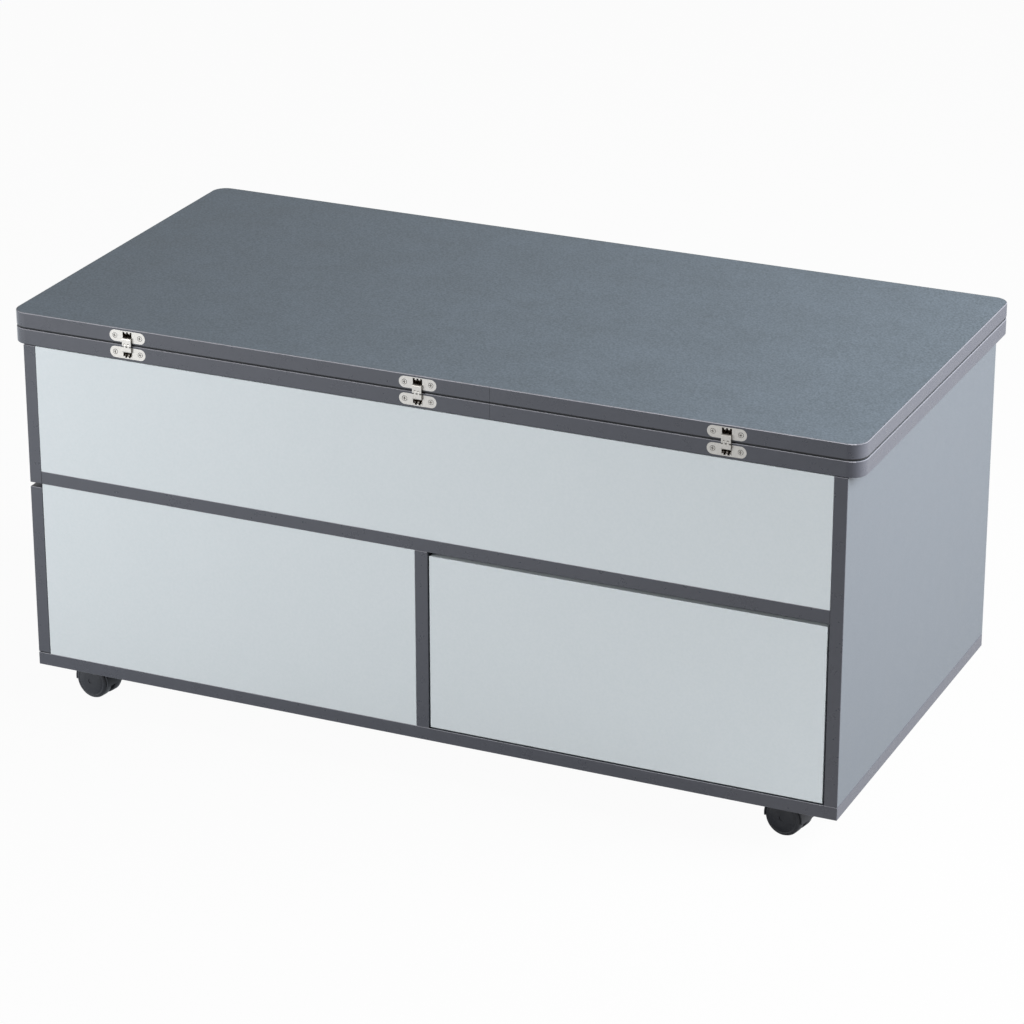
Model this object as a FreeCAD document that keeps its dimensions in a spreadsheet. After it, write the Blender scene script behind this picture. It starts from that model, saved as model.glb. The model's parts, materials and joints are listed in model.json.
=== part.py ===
import FreeCAD, Part

import math
import os
import re

import Sketcher
from FreeCAD import Placement, Rotation, Vector

# A low table on casters that turns into a dining table. Two arm units lift the top and carry it
# back, and the upper leaf folds over to the front on three concealed hinges. The lower half holds
# a drawer in the front and a drawer in the left end.
# X runs along the length, the front faces -Y, Z is up, and the origin is on the floor under the
# middle of the top. All sizes are in millimetres.

SIZES = (
    ("leaf_length", 1000, "length of each table leaf"),
    ("leaf_width", 490, "width of each table leaf"),
    ("leaf_thick", 18, "thickness of each table leaf"),
    ("leaf_gap", 1, "gap between the stacked leaves"),
    ("leaf_corner", 25, "corner radius of the leaves"),
    ("band", 1, "thickness of the edge band round a leaf"),
    ("band_arris", 0.7, "chamfer on the edge band"),
    ("band_slit", 0.3, "gap where the ends of the edge band meet"),
    ("band_slit_at", 84, "distance of that gap from the middle"),
    ("leaf_overhang", 15, "reach of the leaves past each end of the carcass"),
    ("board", 15, "thickness of the carcass boards"),
    ("board_arris", 0.4, "chamfer on board edges"),
    ("lower_height", 210, "clear height of the drawer openings"),
    ("upper_height", 148, "height of the upper front panel"),
    ("rim_gap", 2, "gap between the carcass and the top, the height of the bumpers"),
    ("bumper_radius", 5, "radius of the bumpers"),
    ("bumper_inset", 60, "distance of the bumpers from the front and back"),
    ("divider_offset", 2, "distance of the divider from the middle"),
    ("panel_gap", 0.4, "gap between the fixed lower front and the end drawer"),
    ("front_gap_side", 2, "gap beside the front drawer's front"),
    ("front_gap_top", 4, "gap above the front drawer's front"),
    ("front_gap_bottom", 2, "gap below the front drawer's front"),
    ("end_gap_top", 5, "gap above the end drawer's front"),
    ("end_gap_bottom", 1, "gap below the end drawer's front"),
    ("drawer_wall", 12, "thickness of the drawer sides and backs"),
    ("drawer_floor", 4, "thickness of the drawer bottoms"),
    ("drawer_height", 140, "height of the drawer sides"),
    ("drawer_behind", 40, "room behind a drawer"),
    ("drawer_rise", 20, "height of the drawer sides above the bottom panel"),
    ("drawer_clear", 1.5, "gap between a drawer side and the wall beside it"),
    ("floor_rise", 8, "height of a drawer bottom above the drawer's lower edge"),
    ("floor_groove", 5, "depth of the groove for the drawer bottom"),
    ("groove_clear", 0.1, "clearance of the drawer bottom in its groove"),
    ("rail_height", 17, "height of a drawer rail"),
    ("rail_depth", 6, "depth of a drawer rail inside the groove"),
    ("rail_rise", 60, "height of the rail above the drawer's lower edge"),
    ("rail_clear", 0.3, "clearance of the rail in its groove"),
    ("arm_width", 24, "width of a lift arm"),
    ("arm_thick", 5, "thickness of a lift arm"),
    ("lift_plate", 3, "sheet thickness of the lift brackets"),
    ("lift_gap", 0.5, "gap between the plates and arms of the lift"),
    ("bracket_inset", 31, "distance from the side panels to the lift brackets"),
    ("bracket_rim", 16, "material around the pivots of a bracket"),
    ("flange_width", 28, "width of the screwed flange of a bracket"),
    ("pivot_inset", 95, "distance of the main pivot from the back of the carcass"),
    ("top_pivot_inset", 85, "distance of the top bracket's pivot from the front"),
    ("pivot_step", 38, "distance of the follower pivot in front of the main pivot"),
    ("pivot_drop", 47, "distance of the follower pivot below the main pivot"),
    ("pivot_radius", 4, "radius of the lift pivots"),
    ("rivet_head", 7, "radius of the rivet heads"),
    ("rivet_head_thick", 2, "thickness of the rivet heads"),
    ("running_clear", 0.05, "radial clearance of a pin in its hole"),
    ("strut_rise", 20, "height of the lower strut pivots above the mid shelf"),
    ("strut_reach", 80, "distance of both strut pivots from the main pivot"),
    ("strut_radius", 7.5, "radius of the strut cylinder"),
    ("rod_shown", 18.5, "distance of the rod's eye from the cylinder at rest"),
    ("strut_eye", 7, "radius of the strut eyes"),
    ("strut_eye_thick", 8, "thickness of the strut eyes"),
    ("strut_pin", 3, "radius of the strut pins"),
    ("rod_radius", 3, "radius of the strut rod"),
    ("rod_start", 19, "distance of the rod's inner end from the cylinder's eye at rest"),
    ("bar_reach", 200, "distance of the cross bar from the main pivot"),
    ("bar_radius", 7, "radius of the cross bar"),
    ("hinge_pitch", 352, "distance between the leaf hinges"),
    ("cup_length", 44, "length of a hinge cup"),
    ("cup_height", 13, "height of a hinge cup"),
    ("cup_depth", 12, "depth of a hinge cup"),
    ("cup_clear", 0.05, "clearance of a cup in its mortise"),
    ("pocket_depth", 9.8, "depth of the pocket in a hinge cup"),
    ("pocket_wall", 1, "wall between the pocket and the outer side of the cup"),
    ("fold_ahead", 0.5, "distance of the fold axis in front of the leaves"),
    ("link_depth", 2.75, "distance of the link pivots behind the fold axis"),
    ("link_rise", 5.5, "distance of the link pivots above and below the fold axis"),
    ("link_pin", 1.1, "radius of the link pins"),
    ("link_eye", 2, "material around a link pin"),
    ("link_bulge", 2, "reach of the links in front of the fold axis"),
    ("link_tail", 3, "reach of a link past its pivot"),
    ("link_tip", 2, "reach of a link past the fold axis"),
    ("link_plate", 2.8, "depth of the plate that joins the fingers of a link"),
    ("finger", 2, "thickness of a link finger"),
    ("finger_gap", 0.2, "gap between the link fingers"),
    ("rib_sunk", 1.75, "distance of the ribs in a cup behind its face"),
    ("rib_height", 3.4, "height of the ribs in a cup"),
    ("rib_foot", 1.6, "height of the part of a rib that reaches the face"),
    ("screw_reach", 15.5, "distance of the hinge screws from the middle of the cup"),
    ("screw_radius", 1.6, "radius of a screw's shank"),
    ("screw_head", 2.8, "radius of a screw's head"),
    ("screw_head_thick", 1.8, "height of a screw's head"),
    ("seat_clear", 0.25, "radial clearance of a screw's head in its seat"),
    ("screw_length", 16, "length of a hinge screw"),
    ("short_screw", 12, "length of a bracket or caster screw"),
    ("recess_width", 0.9, "width of the cross recess in a screw head"),
    ("recess_length", 3.6, "length of the cross recess"),
    ("recess_depth", 1.2, "depth of the cross recess"),
    ("caster_height", 50, "height of the carcass above the floor"),
    ("caster_inset", 60, "distance of a kingpin from the ends of the carcass"),
    ("caster_setback", 50, "distance of a kingpin from the front and back of the carcass"),
    ("caster_trail", 12, "distance of the axle from the kingpin"),
    ("caster_turn", 10, "angle in degrees that the casters stand turned by"),
    ("caster_plate", 42, "side of the square caster plate"),
    ("caster_plate_thick", 2.5, "thickness of the caster plate"),
    ("kingpin_radius", 4, "radius of the kingpin"),
    ("kingpin_length", 5, "length of the kingpin in the hood"),
    ("hood_gap", 0.3, "gap between the hood and the plate"),
    ("hood_boss", 10, "radius of the boss round the kingpin"),
    ("hood_wall", 1.6, "thickness of the hood's cover"),
    ("hood_set_in", 3, "distance of the cover's edges behind the wheels' outer faces"),
    ("hood_foot", 18, "height of the hood's lower edge above the floor"),
    ("hood_clear", 0.5, "gap between the cover and the wheels"),
    ("wheel_radius", 21.5, "radius of a caster wheel"),
    ("wheel_width", 13, "width of a caster wheel"),
    ("wheel_gap", 8, "distance between the two wheels of a caster"),
    ("web_clear", 0.5, "gap between a wheel and the hood's web"),
    ("axle_radius", 3, "radius of a caster axle"),
)

doc = FreeCAD.newDocument("ConvertibleTable")
sheet = doc.addObject("Spreadsheet::Sheet", "Sizes")
for row, (alias, value, meaning) in enumerate(SIZES, start=1):
    sheet.set(f"A{row}", meaning)
    sheet.set(f"B{row}", str(value))
    sheet.setAlias(f"B{row}", alias)
doc.recompute()

ALIASES = {alias for alias, _, _ in SIZES}
pieces = []

# Levels above the floor and other places that several pieces share
LOWER = "(caster_height + board)"
SHELF = "(caster_height + board + lower_height)"
UPPER = "(caster_height + 2 * board + lower_height)"
RIM = "(caster_height + 2 * board + lower_height + upper_height)"
LOWER_LEAF = "(caster_height + 2 * board + lower_height + upper_height + rim_gap)"
UPPER_LEAF = f"({LOWER_LEAF} + leaf_thick + leaf_gap)"
FOLD_Z = f"({LOWER_LEAF} + leaf_thick + leaf_gap / 2)"
FOLD_Y = "(-leaf_width / 2 - fold_ahead)"
HALF = "(leaf_length / 2 - leaf_overhang)"
INNER = "(leaf_length / 2 - leaf_overhang - board)"
DEPTH = "leaf_width"
FRONT = "(-leaf_width / 2)"
BACK = "(leaf_width / 2)"
DIVIDER_LEFT = "(divider_offset - board / 2)"
DIVIDER_RIGHT = "(divider_offset + board / 2)"
LIFT_X = f"({INNER} - bracket_inset)"
MAIN_Y = "(leaf_width / 2 - pivot_inset)"
PIVOT_RISE = "(strut_rise + strut_reach)"
MAIN_Z = f"({UPPER} + {PIVOT_RISE})"
TOP_Y = "(top_pivot_inset - leaf_width / 2)"
ARM = "(leaf_width - pivot_inset - top_pivot_inset)"
MAIN_ARM = "(lift_plate + lift_gap)"
FOLLOWER_ARM = "(lift_plate + 2 * lift_gap + arm_thick)"
STRUT = "(lift_plate + 4 * lift_gap + 2 * arm_thick + rivet_head_thick + strut_radius)"
POCKET_WIDTH = "(5 * finger + 6 * finger_gap)"
CUP_CENTRE = "(leaf_gap / 2 + leaf_thick / 2)"
AXLE_X = "(-caster_trail)"
PLATE_Z = "(caster_height - caster_plate_thick)"


def bound(text):
    """Returns the expression with each size name pointed at its cell."""
    return re.sub(r"[a-z_]+", lambda found: f"Sizes.{found[0]}" if found[0] in ALIASES else found[0], text)


def mm(text):
    """Returns the value of an expression in millimetres."""
    return float(sheet.evalExpression(bound(text)))


def bind(item, prop, text):
    """Binds a property to the sizes that the expression names."""
    item.setExpression(prop, bound(text))


def at(x, y, z):
    """Returns the point that three expressions give."""
    return Vector(mm(x), mm(y), mm(z))


def piece(name, item):
    """Names a finished piece and keeps it for the files."""
    item.Label = name
    pieces.append(item)
    return item


# Boards, cylinders and cuts

def box(corner, extent):
    """Returns a box whose corner and extent follow the sizes."""
    solid = doc.addObject("Part::Box", "Board")
    for prop, text in zip(("Length", "Width", "Height"), extent):
        bind(solid, prop, text)
    for axis, text in zip("xyz", corner):
        bind(solid, f"Placement.Base.{axis}", text)
    return solid


TURNS = {"x": Rotation(Vector(0, 1, 0), 90), "y": Rotation(Vector(1, 0, 0), -90), "z": Rotation()}


def cylinder(axis, start, radius, length):
    """Returns a cylinder along an axis from a start point."""
    solid = doc.addObject("Part::Cylinder", "Round")
    bind(solid, "Radius", radius)
    bind(solid, "Height", length)
    solid.Placement = Placement(Vector(), TURNS[axis])
    for name, text in zip("xyz", start):
        bind(solid, f"Placement.Base.{name}", text)
    return solid


def eased(solid):
    """Returns the board with its sharp edges chamfered."""
    result = doc.addObject("Part::Chamfer", "Eased")
    result.Base = solid
    arris = mm("board_arris")
    result.Edges = [(edge, arris, arris) for edge in range(1, 13)]
    return result


def together(items):
    """Returns several solids as one group."""
    group = doc.addObject("Part::Compound", "Group")
    group.Links = items
    return group


def cut(base, tools):
    """Returns the base with the tools taken out of it."""
    result = doc.addObject("Part::Cut", "Cut")
    result.Base = base
    result.Tool = tools[0] if len(tools) == 1 else together(tools)
    return result


def fused(items):
    """Returns the items joined into one solid."""
    result = doc.addObject("Part::MultiFuse", "Joined")
    result.Shapes = items
    result.Refine = True
    return result


def copies(source, places):
    """Returns a group of copies of one shape at several places."""
    doc.recompute()
    group = doc.addObject("Part::Feature", "Copies")
    group.Shape = Part.makeCompound([source.Shape.transformed(place.toMatrix()) for place in places])
    return group


# Sketched bodies

def new_body(base=("0", "0", "0"), turn=None):
    """Returns a body at a place that follows the sizes."""
    body = doc.addObject("PartDesign::Body", "Body")
    if turn is not None:
        body.Placement = Placement(Vector(), turn)
    for axis, text in zip("xyz", base):
        bind(body, f"Placement.Base.{axis}", text)
    return body


def new_sketch(body, role):
    """Returns a sketch on one of the body's own planes."""
    sketch = body.newObject("Sketcher::SketchObject", "Sketch")
    plane = next(item for item in body.Origin.OriginFeatures if item.Role == role)
    sketch.AttachmentSupport = (plane, [""])
    sketch.MapMode = "FlatFace"
    return sketch


def dimension(sketch, kind, references, text):
    """Adds a dimension to a sketch that follows the sizes."""
    index = sketch.addConstraint(Sketcher.Constraint(kind, *references, mm(text)))
    bind(sketch, f"Constraints[{index}]", text)


def outline(sketch, points):
    """Draws a closed outline through points given as expressions."""
    first = sketch.GeometryCount
    corners = [Vector(mm(x), mm(y), 0) for x, y in points]
    for start, end in zip(corners, corners[1:] + corners[:1]):
        sketch.addGeometry(Part.LineSegment(start, end), False)
    for index in range(len(points)):
        following = first + (index + 1) % len(points)
        sketch.addConstraint(Sketcher.Constraint("Coincident", first + index, 2, following, 1))
    for index, (x, y) in enumerate(points):
        dimension(sketch, "DistanceX", (-1, 1, first + index, 1), x)
        dimension(sketch, "DistanceY", (-1, 1, first + index, 1), y)


def hole(sketch, x, y, radius):
    """Draws a round hole."""
    circle = Part.Circle(Vector(mm(x), mm(y), 0), Vector(0, 0, 1), mm(radius))
    index = sketch.addGeometry(circle, False)
    dimension(sketch, "Radius", (index,), radius)
    dimension(sketch, "DistanceX", (-1, 1, index, 3), x)
    dimension(sketch, "DistanceY", (-1, 1, index, 3), y)


def slot(sketch, start, length, radius):
    """Draws a slot with round ends along the sketch's own x from a start point."""
    x, r, reach = mm(start), mm(radius), mm(length)
    up = Vector(0, 0, 1)
    first = Part.ArcOfCircle(Part.Circle(Vector(x, 0, 0), up, r), math.pi / 2, 1.5 * math.pi)
    second = Part.ArcOfCircle(Part.Circle(Vector(x + reach, 0, 0), up, r), -math.pi / 2, math.pi / 2)
    sketch.addGeometry(first, False)
    sketch.addGeometry(second, False)
    sketch.addGeometry(Part.LineSegment(Vector(x, r, 0), Vector(x + reach, r, 0)), False)
    sketch.addGeometry(Part.LineSegment(Vector(x, -r, 0), Vector(x + reach, -r, 0)), False)
    for arc, arc_end, line, line_end in ((0, 1, 2, 1), (1, 2, 2, 2), (0, 2, 3, 1), (1, 1, 3, 2)):
        sketch.addConstraint(Sketcher.Constraint("Tangent", arc, arc_end, line, line_end))
    sketch.addConstraint(Sketcher.Constraint("PointOnObject", 0, 3, -1))
    sketch.addConstraint(Sketcher.Constraint("Horizontal", 2))
    dimension(sketch, "DistanceX", (-1, 1, 0, 3), start)
    dimension(sketch, "DistanceX", (0, 3, 1, 3), length)
    dimension(sketch, "Radius", (0,), radius)


def pad(body, sketch, length, backwards=False):
    """Pads a sketch by a length that follows the sizes."""
    feature = body.newObject("PartDesign::Pad", "Pad")
    feature.Profile = sketch
    bind(feature, "Length", length)
    feature.Reversed = backwards
    sketch.Visibility = False
    return feature


def revolve(body, sketch):
    """Turns a sketch round its own vertical axis."""
    feature = body.newObject("PartDesign::Revolution", "Turned")
    feature.Profile = sketch
    feature.ReferenceAxis = (sketch, ["V_Axis"])
    feature.Angle = 360
    return feature


def round_edges(body, radius, wanted):
    """Rounds the edges of a body's last feature that the test picks."""
    doc.recompute()
    last = body.Tip
    names = [f"Edge{i}" for i, edge in enumerate(last.Shape.Edges, start=1) if wanted(edge)]
    feature = body.newObject("PartDesign::Fillet", "Rounded")
    feature.Base = (last, names)
    bind(feature, "Radius", radius)
    return feature


# Screws

def screw(length, sunk):
    """Returns a screw with its head at the origin and its shank along +Y."""
    body = new_body()
    sketch = new_sketch(body, "XY_Plane")
    if sunk:
        profile = [("0", "0"), ("screw_head", "0"), ("screw_radius", "screw_head_thick")]
    else:
        profile = [("0", "-screw_head_thick"), ("screw_head * 0.7", "-screw_head_thick"),
                   ("screw_head", "-screw_head_thick * 0.6"), ("screw_head", "0"), ("screw_radius", "0")]
    profile += [("screw_radius", f"{length} - screw_radius"), ("0", length)]
    outline(sketch, profile)
    revolve(body, sketch)
    top = "0" if sunk else "-screw_head_thick"
    across = ("-recess_length / 2", "-recess_width / 2")
    size = ("recess_length", "recess_width")
    bars = [
        box((across[0], top, across[1]), (size[0], "recess_depth", size[1])),
        box((across[1], top, across[0]), (size[1], "recess_depth", size[0])),
    ]
    return cut(body, bars)


hinge_screw = screw("screw_length", True)
plain_screw = screw("short_screw", False)
INTO_Z_UP = Rotation(Vector(1, 0, 0), 90)
INTO_Z_DOWN = Rotation(Vector(1, 0, 0), -90)
PILOT = "(screw_radius + running_clear)"

# Carcass

caster_spots = {
    f"{end}_{side}": (f"{x} * ({HALF} - caster_inset)", f"{y} * ({BACK} - caster_setback)")
    for end, y in (("front", "-1"), ("back", "1"))
    for side, x in (("left", "-1"), ("right", "1"))
}
PLATE_SCREW = "(caster_plate / 2 - 2 * screw_head)"
caster_screw_spots = [
    (f"({x} + {i} * {PLATE_SCREW})", f"({y} + {j} * {PLATE_SCREW})")
    for x, y in caster_spots.values() for i in (-1, 1) for j in (-1, 1)
]
bracket_screw_steps = ("-(pivot_step / 2 + bracket_rim)", "bracket_rim / 2")
FLANGE_MIDDLE = f"({LIFT_X} + flange_width / 2 - lift_plate)"
base_screw_spots = [
    (f"{side} * {FLANGE_MIDDLE}", f"({MAIN_Y} + {step})") for side in (-1, 1) for step in bracket_screw_steps
]
top_screw_spots = [
    (f"{side} * {FLANGE_MIDDLE}", f"({TOP_Y} + {step})")
    for side in (-1, 1) for step in bracket_screw_steps
]


def pilots(spots, z, depth):
    """Returns the pilot holes for screws along Z."""
    return [cylinder("z", (x, y, z), PILOT, depth) for x, y in spots]


SCREW_IN_BOARD = "(short_screw - caster_plate_thick + 1)"
SCREW_IN_FLANGE = "(short_screw - lift_plate + 1)"

bottom = eased(box((f"-{HALF}", FRONT, "caster_height"), (f"2 * {HALF}", DEPTH, "board")))
piece("bottom_panel", cut(bottom, pilots(caster_screw_spots, "caster_height", SCREW_IN_BOARD)))

piece("right_side_panel", eased(box(
    (INNER, FRONT, LOWER), ("board", DEPTH, "lower_height + board + upper_height"))))
piece("left_side_panel", eased(box(
    (f"-{HALF}", FRONT, SHELF), ("board", DEPTH, "board + upper_height"))))

shelf = eased(box((f"-{INNER}", FRONT, SHELF), (f"2 * {INNER}", DEPTH, "board")))
piece("mid_shelf", cut(shelf, pilots(base_screw_spots, f"{UPPER} - {SCREW_IN_FLANGE}", SCREW_IN_FLANGE)))

piece("centre_divider", eased(box(
    (DIVIDER_LEFT, FRONT, LOWER), ("board", f"{DEPTH} - board", "lower_height"))))
piece("upper_front_panel", eased(box(
    (f"-{INNER}", FRONT, UPPER), (f"2 * {INNER}", "board", "upper_height"))))
piece("lower_front_panel", eased(box(
    (f"-{INNER} + panel_gap", FRONT, LOWER),
    (f"{INNER} + {DIVIDER_LEFT} - panel_gap", "board", "lower_height"))))
piece("upper_back_panel", eased(box(
    (f"-{INNER}", f"{BACK} - board", UPPER), (f"2 * {INNER}", "board", "upper_height"))))
piece("lower_back_panel", eased(box(
    (f"-{INNER} + panel_gap", f"{BACK} - board", LOWER),
    (f"2 * {INNER} - panel_gap", "board", "lower_height"))))

bumper_spots = [
    (f"{i} * ({HALF} - board / 2)", f"{j} * ({BACK} - bumper_inset)") for i in (-1, 1) for j in (-1, 1)
]
bumpers = [cylinder("z", (x, y, RIM), "bumper_radius", "rim_gap") for x, y in bumper_spots]
piece("rim_bumpers", together(bumpers))

# Drawers: each is described as seen from its own front, with u across, v inwards and z up


class Bay:
    """A drawer opening, its width across, and the length of the drawer's sides in it."""

    def __init__(self, name, middle, face, width, length, endways):
        self.name = name
        self.middle = middle
        self.face = face
        self.width = width
        self.length = length
        self.endways = endways

    def box(self, corner, extent):
        """Returns a box from a corner and an extent given across, inwards and up."""
        u, v, z = corner
        across, inwards, up = extent
        if self.endways:
            x_corner = f"({self.face}) + ({v})"
            y_corner = f"({self.middle}) - ({u}) - ({across})"
            return box((x_corner, y_corner, z), (inwards, across, up))
        return box((f"({self.middle}) + ({u})", f"({self.face}) + ({v})", z), extent)

    def drawer(self, front_width, gap_top, gap_bottom, edges):
        """Makes the five boards of the drawer."""
        outside = f"({self.width} / 2 - drawer_clear)"
        inside = f"({outside} - drawer_wall)"
        foot = f"({LOWER} + drawer_rise)"
        floor_z = f"({foot} + floor_rise)"
        front_height = f"lower_height - {gap_top} - {gap_bottom}"
        piece(f"{self.name}_front", eased(self.box(
            (f"-({front_width}) / 2", "0", f"{LOWER} + {gap_bottom}"), (front_width, "board", front_height))))
        for edge, sign in zip(edges, (-1, 1)):
            start = f"-{outside}" if sign < 0 else inside
            side = self.box((start, "board", foot), ("drawer_wall", self.length, "drawer_height"))
            groove_depth = "rail_depth + rail_clear"
            groove_at = f"-{outside}" if sign < 0 else f"{outside} - ({groove_depth})"
            groove = self.box((groove_at, "board", f"{foot} + rail_rise - rail_clear"),
                              (groove_depth, self.length, "rail_height + 2 * rail_clear"))
            slit_at = f"-{inside} - floor_groove" if sign < 0 else inside
            slit = self.box((slit_at, "board", f"{floor_z} - groove_clear"),
                            ("floor_groove", self.length, "drawer_floor + 2 * groove_clear"))
            piece(f"{self.name}_{edge}_side", cut(side, [groove, slit]))
        piece(f"{self.name}_back", self.box(
            (f"-{inside}", f"board + {self.length} - drawer_wall", f"{floor_z} + drawer_floor"),
            (f"2 * {inside}", "drawer_wall", "drawer_height - floor_rise - drawer_floor")))
        piece(f"{self.name}_bottom", self.box(
            (f"-{inside} - floor_groove + groove_clear", "board", floor_z),
            (f"2 * ({inside} + floor_groove - groove_clear)", self.length, "drawer_floor")))

    def rails(self):
        """Makes the two rails that the drawer's grooves run on."""
        foot = f"({LOWER} + drawer_rise)"
        depth = "(drawer_clear + rail_depth)"
        rails = [
            eased(self.box((start, "board + 2 * drawer_clear", f"{foot} + rail_rise"),
                           (depth, f"{self.length} - 2 * drawer_clear", "rail_height")))
            for start in (f"-{self.width} / 2", f"{self.width} / 2 - {depth}")
        ]
        piece(f"{self.name}_rails", together(rails))


front_width = f"({INNER} - {DIVIDER_RIGHT})"
front_length = f"({DEPTH} - 2 * board - drawer_behind)"
front_middle = f"({INNER} + {DIVIDER_RIGHT}) / 2"
front_bay = Bay("front_drawer", front_middle, FRONT, front_width, front_length, False)
front_face = f"{front_width} - 2 * front_gap_side"
front_bay.drawer(front_face, "front_gap_top", "front_gap_bottom", ("left", "right"))
front_bay.rails()

end_length = f"({HALF} + {DIVIDER_LEFT} - board - drawer_behind)"
end_bay = Bay("end_drawer", "0", f"-{HALF}", f"({DEPTH} - 2 * board)", end_length, True)
end_bay.drawer(DEPTH, "end_gap_top", "end_gap_bottom", ("back", "front"))
end_bay.rails()

# Lift


def lift_x(side, depth, thick):
    """Returns the lower x of a slice of a lift unit, counted inwards from its bracket's outer face."""
    if side > 0:
        return f"{LIFT_X} - {depth} - ({thick})"
    return f"-{LIFT_X} + {depth}"


def is_across(edge):
    """Tells whether an edge is straight and runs along X."""
    return edge.BoundBox.DiagonalLength - edge.BoundBox.XLength < 0.001


def bracket(side, y, z, plate, holes, flange_z, flange_y):
    """Returns a bent bracket: a plate with pivot holes and a flange with two screw holes."""
    body = new_body((lift_x(side, "0", "lift_plate"), y, z))
    sketch = new_sketch(body, "YZ_Plane")
    outline(sketch, plate)
    for hole_y, hole_z in holes:
        hole(sketch, hole_y, hole_z, "pivot_radius + running_clear")
    pad(body, sketch, "lift_plate")
    bend = mm(flange_z)
    round_edges(body, "bracket_rim / 3", lambda edge: is_across(edge) and abs(edge.BoundBox.ZMin - bend) > 1)
    start, end = flange_y
    near, far = ("0", "flange_width") if side > 0 else ("lift_plate - flange_width", "lift_plate")
    flat = new_sketch(body, "XY_Plane")
    outline(flat, ((near, start), (far, start), (far, end), (near, end)))
    middle = "flange_width / 2" if side > 0 else "lift_plate - flange_width / 2"
    for step in bracket_screw_steps:
        hole(flat, middle, step, PILOT)
    base_z = flange_z if flange_z == "0" else f"{flange_z} - lift_plate"
    bind(flat, "AttachmentOffset.Base.z", base_z)
    pad(body, flat, "lift_plate")
    return body


TOP_RISE = f"(upper_height + rim_gap - {PIVOT_RISE})"
FOOT_FRONT = "-(pivot_step + 2 * bracket_rim)"
FOOT_BACK = "(2 * bracket_rim)"
base_plate = (
    (FOOT_FRONT, "0"),
    (FOOT_BACK, "0"),
    ("bracket_rim", f"{PIVOT_RISE} + bracket_rim"),
    ("-bracket_rim", f"{PIVOT_RISE} + bracket_rim"),
    ("-(pivot_step + bracket_rim)", f"{PIVOT_RISE} - pivot_drop + bracket_rim"),
)
base_holes = (
    ("0", PIVOT_RISE),
    ("-pivot_step", f"{PIVOT_RISE} - pivot_drop"),
    ("0", "strut_rise"),
)
top_plate = (
    (FOOT_FRONT, TOP_RISE),
    (FOOT_FRONT, f"{TOP_RISE} - bracket_rim"),
    ("-(pivot_step + bracket_rim)", "-(pivot_drop + bracket_rim)"),
    ("-(pivot_step - bracket_rim)", "-(pivot_drop + bracket_rim)"),
    ("bracket_rim", "-bracket_rim / 2"),
    (FOOT_BACK, f"{TOP_RISE} - bracket_rim"),
    (FOOT_BACK, TOP_RISE),
)
top_holes = (("0", "0"), ("-pivot_step", "-pivot_drop"))


def arm(side, depth, y, z, extra):
    """Returns a flat arm with a hole at each end, its front pivot at the given place."""
    body = new_body((lift_x(side, depth, "arm_thick"), y, z))
    sketch = new_sketch(body, "YZ_Plane")
    slot(sketch, "0", ARM, "arm_width / 2")
    for place in ("0", ARM) + extra:
        hole(sketch, place, "0", "pivot_radius + running_clear")
    pad(body, sketch, "arm_thick")
    return body


def stepped_pin(side, y, z, steps):
    """Returns a round pin along X from steps of depth, length and radius, counted inwards."""
    return fused([cylinder("x", (lift_x(side, depth, length), y, z), radius, length)
                  for depth, length, radius in steps])


def rivet(side, y, z, start, grip):
    """Returns a rivet with a head on the bracket and a head on the arm that it carries."""
    shoulder = f"({start} - lift_plate - lift_gap / 2)"
    steps = [("-rivet_head_thick", "rivet_head_thick", "rivet_head"), ("0", grip, "pivot_radius"),
             (grip, "rivet_head_thick", "rivet_head")]
    if start == FOLLOWER_ARM:
        steps.append(("lift_plate", shoulder, "rivet_head"))
    return stepped_pin(side, y, z, steps)


MAIN_GRIP = "(lift_plate + 1.5 * lift_gap + arm_thick)"
FOLLOWER_GRIP = "(lift_plate + 2.5 * lift_gap + 2 * arm_thick)"
STRUT_NEAR = f"({STRUT} - strut_eye_thick / 2 - lift_gap)"
STRUT_FAR = f"({STRUT} + strut_eye_thick / 2 + lift_gap)"

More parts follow.
